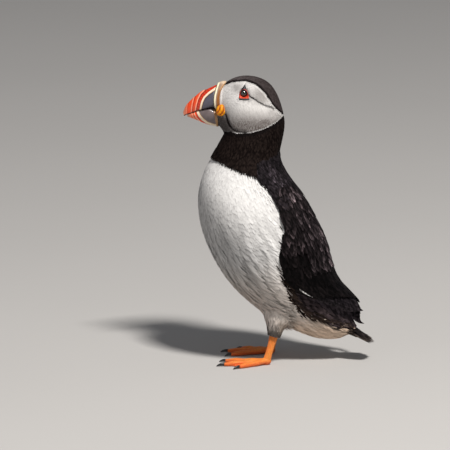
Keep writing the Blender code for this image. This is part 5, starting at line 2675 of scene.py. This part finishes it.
@dataclass(frozen=True)
class Bill:
    """Both halves of the bill, with their ridges, grooves and bands."""

    upper: tuple[Slice, ...] = (
        Slice((-49.0, 221.5), (-45.5, 247.6), 8.7), Slice((-54.6, 223.0), (-50.8, 247.6), 8.6),
        Slice((-60.4, 225.3), (-57.2, 244.3), 7.8), Slice((-66.0, 224.2), (-64.0, 241.4), 6.7),
        Slice((-72.0, 222.5), (-71.0, 237.6), 5.3), Slice((-77.2, 220.7), (-77.6, 232.0), 3.8),
        Slice((-81.4, 219.0), (-82.6, 226.3), 2.3), Slice((-84.2, 217.3), (-85.0, 220.6), 0.9),
    )
    lower: tuple[Slice, ...] = (
        Slice((-49.0, 208.6), (-48.6, 221.4), 7.2), Slice((-54.4, 208.2), (-54.0, 222.6), 7.0),
        Slice((-61.9, 209.2), (-60.4, 224.9), 6.4), Slice((-67.4, 211.2), (-66.6, 223.7), 5.4),
        Slice((-73.6, 213.9), (-73.0, 221.8), 4.0), Slice((-78.4, 215.7), (-78.2, 219.9), 2.5),
        Slice((-81.4, 216.8), (-81.4, 218.4), 1.1),
    )
    band_edge: tuple = (
        (-55.0, 244.8), (-58.5, 242.3), (-63.2, 239.1), (-67.2, 235.2), (-69.3, 231.2), (-70.4, 227.2),
        (-70.9, 224.1), (-71.1, 220.0),
    )
    base_edge: tuple = (
        (-53.6, 249.5), (-55.0, 246.0), (-56.5, 241.9), (-58.0, 236.2), (-58.3, 231.3), (-58.0, 227.9),
        (-57.1, 224.4), (-56.0, 221.0),
    )
    low_edge: tuple = (
        (-73.2, 222.5), (-72.9, 220.4), (-71.9, 218.0), (-68.8, 214.3), (-65.2, 211.3), (-60.1, 209.2),
        (-52.0, 207.6),
    )
    gape: tuple = (
        (-84.0, 218.0), (-83.2, 218.6), (-77.6, 220.6), (-74.2, 222.3), (-69.9, 223.6), (-65.2, 224.9),
        (-59.5, 226.0), (-56.5, 224.2), (-53.0, 222.0),
    )
    grooves: tuple = ((2.7, 4.5, 1.0), (6.3, 7.9, 0.75), (10.6, 11.9, 0.4))
    shades: BillShades = BillShades()
    rings: int = 250
    sides: int = 150

    def build(self) -> None:
        """Makes both halves."""
        self.half("bill_upper", self.upper, 0.42, -1.0, self.dress_upper)
        self.half("bill_lower", self.lower, -0.30, 1.0, self.dress_lower)

    def ahead(self, flat: Array, line: tuple) -> Array:
        """Signed distance from a line across the bill, positive towards the tip.

        Args:
            flat: Points in side view.
            line: The line's corners.

        Returns:
            A distance for each point.
        """
        across, up = np.transpose(sorted(line, key=lambda corner: corner[1]))
        away, _ = line_distance(flat, line)
        return np.where(flat[:, 0] < np.interp(flat[:, 1], up, across), away, -away)

    def half(self, name: str, slices: tuple[Slice, ...], egg: float, lip: float, dress: Callable) -> None:
        """Makes one half.

        Args:
            name: The CAD node it stands for.
            slices: Its sections from the base to the tip.
            egg: How much broader it is near its low side.
            lip: 1 where the other half lies above it, -1 below it; that side is nearly flat.
            dress: Gives heights and colours for points.
        """
        places = np.linspace(0.0, len(slices) - 1.0, self.rings)
        rows = spline([(*s.low, *s.high, s.half) for s in slices], places)
        low, high, half = rows[:, None, 0:2], rows[:, None, 2:4], rows[:, None, 4]
        turns = circle(self.sides)[None, :]
        cos, sin = np.cos(turns), np.sin(turns)
        meeting = high if lip > 0.0 else low
        meeting[..., 1] += lip * ease(1.5, 4.0, places)[:, None] * (0.55 if lip > 0.0 else 0.15)
        flat = (low + high) / 2.0 + (high - low) / 2.0 * cos[..., None]
        boxy = 1.0 - 0.5 * ease(0.2, 1.0, lip * cos) * ease(1.2, 2.6, places)[:, None]
        across = half * np.sign(sin) * np.abs(sin) ** boxy * (1.0 - egg * cos)
        sections = np.stack((flat[..., 0], across, flat[..., 1]), axis=-1)
        outward = unit(np.stack(np.broadcast_arrays(np.zeros_like(across), sin, cos), axis=-1))
        height, _ = dress(sections.reshape(-1, 3))
        height -= 1.7 * ease(-0.2, 1.2, sections[..., 0] - MARKS.front(sections[..., 2])).ravel()
        fade = ease(0.0, 0.06, 1.0 - places / places[-1])[:, None, None]
        sections = sections + outward * height.reshape(across.shape)[..., None] * fade
        mesh = closed_loft(f"{name}_horn", sections)
        paint(mesh, dress(mesh_points(mesh))[1])
        finished(f"{name}_horn", mesh, BILL_HORN, name)

    def dress_upper(self, points: Array) -> tuple[Array, Array]:
        """The upper half's grey triangle, pale band and red front with its ridges, under the base's ridge.

        Args:
            points: Places on it.

        Returns:
            A height and a colour for each point.
        """
        shades, flat = self.shades, points[:, (0, 2)]
        front = self.ahead(flat, self.band_edge) + ripple(points, 5.0, 2.0) * 0.12
        slant = np.sin((flat[:, 0] * 0.5 + flat[:, 1]) * 2.4) * ease(0.3, 1.0, front) * ease(2.8, 2.0, front)
        height = 0.22 * ease(-2.1, -1.5, front) * ease(0.25, -0.2, front) + slant * 0.05
        # The dark line behind the pale band is painted shade in its groove.
        colour = layered(
            np.array(shades.grey) * (ripple(points, 7.0, 4.0)[:, None] * 0.12 + 1.0),
            (shades.tan, ease(-2.1, -1.75, front) * 0.8), (shades.cream, ease(-1.75, -1.35, front)),
            (shades.groove, ease(0.4, 0.05, np.abs(front + 2.2)) * 0.75),
            (shades.deep_red, ease(-0.32, -0.02, front)), (shades.coral, np.clip(slant, 0, 1) * 0.5),
        )
        for start, end, weak in self.grooves:
            # lump is each ridge, with a painted highlight on its front.
            lump = hump(front, (start + end) / 2.0, (end - start) / 2.0, 1.6)
            # The groove ahead of each ridge is darkened: painted shade.
            before = hump(front, start - 0.25, 0.4)
            height += 0.26 * lump * weak
            height -= 0.3 * before * weak
            colour = layered(
                colour, (shades.red, ease(start - 0.3, start + 0.1, front)), (shades.rose, lump * 0.5 * weak),
                (shades.streak, hump(front, start + 0.5, 0.32) * 0.8 * weak),
                (shades.groove, before * 0.7 * weak),
            )
        colour = layered(
            colour, (shades.coral, ease(8.0, 14.0, front) * 0.55 * (ripple(points, 3.5) * 0.3 + 0.7)),
            (shades.tip, ease(-80.5, -84.5, flat[:, 0]) * 0.75),
        )
        return self.mouth(flat, *self.dress_base(flat, height, colour))

    def dress_base(self, flat: Array, height: Array, colour: Array) -> tuple[Array, Array]:
        """Lays the ridge at the base over the upper half.

        Args:
            flat: Points in side view.
            height: Their heights.
            colour: Their colours.

        Returns:
            Heights and colours.
        """
        shades, up = self.shades, flat[:, 1]
        base = self.ahead(flat, self.base_edge)
        ridge = ease(0.15, -0.6, base)
        height = height * (1.0 - ridge) + ridge * (0.95 - 0.12 * np.clip(-base, 0, 5))
        height -= 0.25 * hump(base, 0.45, 0.4)
        height -= 0.16 * hump(base, -1.7, 0.35) * ease(242.0, 239.0, up)
        lit = layered(
            shades.ridge_cream, (shades.ridge, ease(-1.2, -1.6, base)),
            (shades.orange, ease(-2.2, -2.7, base) * ease(243.5, 241.0, up)),
            (shades.tan, ease(-1.7, -1.0, flat[:, 0] - MARKS.front(up)) * ease(240.0, 243.0, up)),
            (shades.cream, ease(245.5, 247.5, up) * 0.5),
        )
        # Painted shade in the dip ahead of the base's ridge.
        lower = blend(colour, shades.groove, ease(0.75, 0.3, base) * 0.9)
        return height, blend(lower, lit, ease(0.14, -0.14, base))

    def dress_lower(self, points: Array) -> tuple[Array, Array]:
        """The lower half's grey plate, pale rim, and red and pale bands.

        Args:
            points: Places on it.

        Returns:
            A height and a colour for each point.
        """
        shades, flat = self.shades, points[:, (0, 2)]
        away, _ = line_distance(flat, self.low_edge)
        plate = outline_distance(flat, self.low_edge + ((-52.0, 226.0), (-73.2, 226.0)))
        front = np.where(plate > 0.0, -away, away) + ripple(points, 4.0, 1.0) * 0.1
        rear = ease(-58.2, -57.3, flat[:, 0] - (flat[:, 1] - 219.0) * -0.17)
        height = 0.2 * ease(-2.5, -1.9, front) * ease(0.2, -0.2, front)
        height += 0.16 * hump(front, 2.2, 0.5) - 0.15 * hump(front, 0.7, 0.5) + rear * 0.25
        # The pale streak bands on the lower half's ridges are painted highlights.
        colour = layered(
            np.array(shades.grey_low) * (ripple(points, 6.0, 9.0)[:, None] * 0.15 + 1.0),
            (shades.tan, ease(-2.7, -2.2, front) * 0.8), (shades.cream, ease(-2.2, -1.7, front)),
            (shades.deep_red, ease(-0.12, 0.12, front)), (shades.red, ease(0.3, 0.9, front)),
            (shades.streak, ease(1.8, 2.0, front)), (shades.coral, ease(2.5, 2.8, front)),
            (shades.rose, ease(3.4, 4.2, front)), (shades.streak, hump(front, 4.5, 0.3) * 0.6),
            (shades.red, hump(front, 5.4, 0.5) * 0.7), (shades.tip, ease(6.2, 8.0, front)),
            (shades.tan, rear * 0.95),
        )
        return self.mouth(flat, height, colour)

    def mouth(self, flat: Array, height: Array, colour: Array) -> tuple[Array, Array]:
        """Darkens the lips where the two halves meet, painted shade in the slit between them, and leaves the
        heights as they are.
        """
        dark = ease(0.6, 0.2, line_distance(flat, self.gape)[0]) * 0.92
        return height, blend(colour, self.shades.groove, dark)


# ---------------------------------------------------------------- eyes and rosettes


class Cheek:
    """The head's surface at the small feathers' tips, to set things on."""

    rings = 180
    columns = 241
    last_place = 5.0
    outside = 60.0

    def __init__(self) -> None:
        """Samples the form's head."""
        rings, columns = self.rings, self.columns
        turns = np.linspace(-math.pi, math.pi, columns)
        place, turn = np.meshgrid(np.linspace(0.0, self.last_place, rings), turns, indexing="ij")
        points = to_world(FORM.surface(place, turn).reshape(-1, 3))
        self.tree = BVHTree.FromPolygons(points.tolist(), grid_faces(rings, columns).tolist())

    def level(self, flat: Array, side: Side) -> Array:
        """How far out the feathers' tips are.

        Args:
            flat: Points in side view, in rows of any number.
            side: Which cheek.

        Returns:
            Their Y, in millimetres.
        """
        reach = []
        for x, z in flat.reshape(-1, 2):
            start = Vector(to_world(np.array((x, side.value * self.outside, z))))
            hit = self.tree.ray_cast(start, Vector((0.0, -side.value, 0.0)))[0]
            reach.append(from_world(np.array(hit))[1] if hit else 0.0)
        return np.reshape(reach, flat.shape[:-1])


@dataclass(frozen=True)
class Face:
    """Eyes with their rims and plates, and the rosettes at the corners of the mouth, on one side."""

    side: Side
    pupil: float = 1.4
    iris: float = 2.5
    cornea: float = 0.22
    pupil_black: tuple = (0.002, 0.002, 0.002)
    iris_brown: tuple = (0.024, 0.019, 0.015)
    edge_black: tuple = (0.003, 0.003, 0.003)
    spike: tuple = ((0.25, 3.0), (0.62, 4.9), (1.1, 7.1))
    bar: tuple = ((-4.5, -4.25), (0.2, -4.5), (4.9, -4.4))
    rim_angles: tuple = (
        -180.0, -155.0, -132.0, -110.0, -90.0, -65.0, -43.0, -20.0, 0.0, 30.0, 75.0, 105.0, 150.0, 180.0,
    )
    rim_reach: tuple = (3.75, 4.5, 5.7, 4.4, 4.05, 4.5, 5.8, 4.4, 3.8, 3.5, 4.1, 3.7, 3.6, 3.75)
    rim_red: tuple = (0.27, 0.009, 0.004)
    rim_orange: tuple = (0.62, 0.042, 0.006)
    plate_grey: tuple = (0.055, 0.062, 0.07)
    plate_edge: tuple = (0.010, 0.008, 0.009)
    rose_yellow: tuple = (0.80, 0.31, 0.002)
    rose_orange: tuple = (0.72, 0.16, 0.001)
    rose_dark: tuple = (0.13, 0.022, 0.001)
    rose_centre: tuple = (-51.6, 9.7, 224.0)
    rose_radii: tuple = (4.75, 3.7, 5.2)
    rose_tilt: float = math.radians(24.0)
    plate_grid: tuple[int, int] = (26, 13)
    plate_depth: float = 2.2
    rim_inner: float = 2.9
    rim_columns: int = 96
    rim_depth: float = 1.7

    def build(self, cheek: Cheek) -> None:
        """Makes everything of this side of the face.

        Args:
            cheek: The head's surface.
        """
        out = self.side.value
        ball = cheek.level(np.array((EYE.x, EYE.z)), self.side) + out * (EYE.proud - EYE.radius)
        self.ball(ball)
        self.rim(cheek, ball)
        self.plate("eye_spike", cheek, self.spike, lambda s: 2.3 * (1.0 - s) ** 0.9 + 0.1)
        self.plate("eye_bar", cheek, self.bar, lambda s: 0.8 * (1.0 - abs(2.0 * s - 1.0) ** 6) ** 0.5 + 0.06)
        self.rosette()

    def done(self, name: str, mesh: Mesh, colours: Array, finish: Finish, *nodes: str) -> None:
        """Paints a piece and adds it.

        Args:
            name: The piece's name without its side.
            mesh: Its mesh.
            colours: A colour for each point.
            finish: Its finish.
            nodes: The CAD nodes that it stands for, without their side.
        """
        word = self.side.word
        paint(mesh, colours)
        finished(f"{name}_{word}", mesh, finish, *(f"{node}_{word}" for node in nodes))

    def ball(self, level: float) -> None:
        """The eyeball with its dark iris and pupil.

        Args:
            level: Its middle's Y.
        """
        across, up, out = globe(38, 56)
        bulge = self.cornea * hump(np.hypot(across, up) * EYE.radius, 0.0, 2.2) * (out > 0.0)
        depth = (out * EYE.radius + bulge) * self.side.value
        shape = np.stack((across * EYE.radius, depth, up * EYE.radius), axis=-1) + (EYE.x, level, EYE.z)
        mesh = closed_loft("eyeball", shape)
        away = EYE.away(mesh_points(mesh))
        colours = layered(
            self.pupil_black, (self.iris_brown, ease(self.pupil - 0.1, self.pupil + 0.15, away)),
            (self.edge_black, ease(self.iris - 0.35, self.iris, away)),
        )
        self.done("eyeball", mesh, colours, EYEBALL, "eye")

    def rim(self, cheek: Cheek, ball: float) -> None:
        """The bare red rim round the eye, from the ball out to the feathers, drawn out at its lower corners.

        Args:
            cheek: The head's surface.
            ball: The Y of the eyeball's middle.
        """
        out, inner, columns = self.side.value, self.rim_inner, self.rim_columns
        around = circle(columns) - math.pi
        shares = np.linspace(0.0, 1.0, 13)[:, None]
        outer = np.interp(np.degrees(around), self.rim_angles, self.rim_reach)[None, :]
        radius = inner + (outer - inner) * shares
        x, z = EYE.x + radius * np.cos(around), EYE.z + radius * np.sin(around)
        edge = cheek.level(np.stack((x[-1:], z[-1:]), axis=-1), self.side) + 0.1 * out
        start = ball + math.sqrt(EYE.radius**2 - inner**2) * out
        swell = np.sin(shares * math.pi) ** 0.7 * (0.4 + 0.05 * np.sin(around * 17.0)[None, :])
        level = start + (edge - start) * shares**0.6 + (swell - 0.35 * (shares > 0.99)) * out
        under = np.stack((x, level - self.rim_depth * out, z), axis=-1)[::-1]
        loop = np.concatenate((np.stack((x, level, z), axis=-1), under))
        faces = grid_faces(len(loop) + 1, columns, True) % (len(loop) * columns)
        mesh = new_mesh("eye_rim", loop.reshape(-1, 3), faces)
        face_out(mesh)
        points = mesh_points(mesh)
        colours = layered(
            self.rim_red, (self.rim_orange, ease(-0.5, -3.0, points[:, 2] - EYE.z)),
            (self.plate_edge, ease(3.2, 2.95, EYE.away(points))),
        )
        self.done("eye_rim", mesh, colours, RIM_SKIN)

    def plate(self, name: str, cheek: Cheek, line: tuple, half: Callable[[Array], Array]) -> None:
        """A low ridge of horn beside the eye.

        Args:
            name: The piece's name.
            cheek: The head's surface.
            line: Its middle line, from the eye's middle.
            half: Gives half its breadth at shares of its length.
        """
        rows, columns = self.plate_grid
        share = np.linspace(0.0, 1.0, rows)
        path = spline(line, share * (len(line) - 1))
        along = unit(np.gradient(path, axis=0))
        across = np.stack((-along[:, 1], along[:, 0]), axis=-1)
        side = np.linspace(-1.0, 1.0, columns)
        reach = (half(share)[:, None] * side[None, :])[..., None]
        flat = path[:, None] + across[:, None] * reach + (EYE.x, EYE.z)
        tips = cheek.level(flat, self.side)
        crown = (1.0 - np.abs(side) ** 2.4)[None, :] * np.minimum(1.0, half(share) / 0.7)[:, None]
        top = np.stack((flat[..., 0], tips + (0.6 * crown - 0.2) * self.side.value, flat[..., 1]), axis=-1)
        base = tips - self.plate_depth * self.side.value
        under = np.stack((flat[..., 0], base, flat[..., 1]), axis=-1)[:, ::-1]
        mesh = closed_loft(name, np.concatenate((top, under), axis=1))
        # Darker towards the plate's sides, where it slopes away: painted shade.
        shade = np.abs((*np.tile((*side, *side[::-1]), rows), 1.0, 1.0))
        self.done(name, mesh, blend(self.plate_grey, self.plate_edge, ease(0.15, 0.6, shade)), PLATE_HORN)

    def rosette(self) -> None:
        """The fleshy yellow folds at the corner of the mouth, with painted shade in their troughs."""
        a, b, out = globe(70, 96)
        fold = np.cos((a + 0.35 * b * b) * math.pi * 2.6 + 0.6)
        sharp = np.sign(fold) * np.abs(fold) ** 0.7
        swell = 1.0 + (0.11 * sharp + 0.025 * np.sin(b * 9.0 + a * 4.0)) * ease(-0.2, 0.5, out)
        rim = 0.07 * hump(np.hypot(a, b), 0.86, 0.1) * (out > 0.0)
        size, cos, sin = self.rose_radii, math.cos(self.rose_tilt), math.sin(self.rose_tilt)
        x, y, z = a * size[0], out * (swell + rim) * size[1], b * size[2]
        turned = np.stack((x * cos + z * sin, y * self.side.value, -x * sin + z * cos), axis=-1)
        mesh = closed_loft("rosette_flesh", turned + np.array(self.rose_centre) * (1.0, self.side.value, 1.0))
        # Darker in the folds' troughs: painted shade.
        dark = ease(-0.55, -0.98, fold) * ease(0.95, 0.7, np.hypot(a, b))
        tone = blend(self.rose_orange, self.rose_yellow, np.clip(sharp * 0.5 + 0.6, 0, 1))
        tone = blend(tone, self.rose_dark, dark * 0.85).reshape(-1, 3)
        colours = np.concatenate((tone, (self.rose_yellow, self.rose_orange)))
        self.done("rosette_flesh", mesh, colours, ROSE_SKIN, "rosette")


def dress_claws() -> None:
    """Makes the claws of both feet."""
    for leg in LEGS:
        for kind, toe in zip(("inner", "middle", "outer"), leg.toes):
            node = f"claw_{kind}_{leg.side.word}"
            finished(f"{node}_horn", leg.claw_mesh(toe, f"{node}_horn"), CLAW_HORN, node)


# ---------------------------------------------------------------- studio


@dataclass(frozen=True)
class Studio:
    """Floor, light and camera."""

    target: tuple = (-0.0476, 0.0, 0.1204)
    elevation: float = 11.5
    distance: float = 4.375
    lens: float = 400.0
    sensor: float = 36.0
    reach: float = 100.0
    floor_half: float = 6.0
    sky: tuple = (0.93, 0.95, 1.0, 1.0)
    sky_strength: float = 0.18
    lamps: tuple = (
        ("key", (0.8, -1.5, 2.75), 0.45, 126.0, (1.0, 0.965, 0.92)),
        ("fill", (-1.9, -1.8, 0.5), 1.6, 6.0, (0.97, 0.97, 1.0)),
    )

    def build(self) -> None:
        """Makes all of it."""
        self.floor()
        self.display()
        for lamp in self.lamps:
            self.lamp(*lamp)
        self.camera()

    def floor(self) -> None:
        """A wide pale floor whose middle carries the bird."""
        mesh = bpy.data.meshes.new("floor")
        corners = np.array(((-1, -1, 0), (1, -1, 0), (1, 1, 0), (-1, 1, 0))) * self.floor_half
        mesh.from_pydata(corners.tolist(), [], [(0, 1, 2, 3)])
        mesh.materials.append(FLOOR_PAPER.material())
        add_object("floor", mesh)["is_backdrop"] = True

    def display(self) -> None:
        """An even sky, and plain display colours."""
        world = bpy.data.worlds.new("studio_world")
        world.use_nodes = True
        sky = world.node_tree.nodes["Background"].inputs
        sky["Color"].default_value = self.sky
        sky["Strength"].default_value = self.sky_strength
        bpy.context.scene.world = world
        bpy.context.scene.view_settings.view_transform = "Standard"

    def lamp(self, name: str, place: tuple, size: float, power: float, colour: tuple) -> None:
        """Adds a square light aimed at the bird.

        Args:
            name: The light's name.
            place: Where it stands.
            size: Its width, in metres.
            power: Its power, in watts.
            colour: Its colour.
        """
        light = bpy.data.lights.new(name, "AREA")
        light.size = size
        light.energy = power
        light.color = colour
        self.aim(name, light, Vector(place))

    def camera(self) -> None:
        """A long lens, a little above the bird, square to its side."""
        camera = bpy.data.cameras.new("camera")
        camera.lens = self.lens
        camera.sensor_width = self.sensor
        camera.clip_end = self.reach
        angle = math.radians(self.elevation)
        back = Vector((0.0, -math.cos(angle), math.sin(angle)))
        bpy.context.scene.camera = self.aim("camera", camera, Vector(self.target) + back * self.distance)

    def aim(self, name: str, data: bpy.types.ID, place: Vector) -> bpy.types.Object:
        """Stands a light or a camera somewhere and turns it to the bird.

        Args:
            name: The object's name.
            data: The light or the camera.
            place: Where it stands.

        Returns:
            The object.
        """
        item = bpy.data.objects.new(name, data)
        item.location = place
        item.rotation_euler = (Vector(self.target) - place).to_track_quat("-Z", "Y").to_euler()
        bpy.context.scene.collection.objects.link(item)
        return item


def write_sizes() -> None:
    """Measures the solids' box and the dressed bird's box."""
    boxes = {"cad": CAD_BOUNDS, "visual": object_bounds()}
    rows = {name: [[float(value) for value in corner] for corner in box] for name, box in boxes.items()}


def main() -> None:
    """Builds every part in order."""
    logging.basicConfig(level=logging.INFO, format="%(name)s %(message)s")
    torso = Torso()
    Studio().build()
    Hide(torso).build()
    Plumes(torso).build()
    Wings(torso).build()
    TAIL.build()
    Bill().build()
    cheek = Cheek()
    for side in Side:
        Face(side).build(cheek)
    dress_claws()
    write_sizes()


if __name__ == "__main__":
    main()
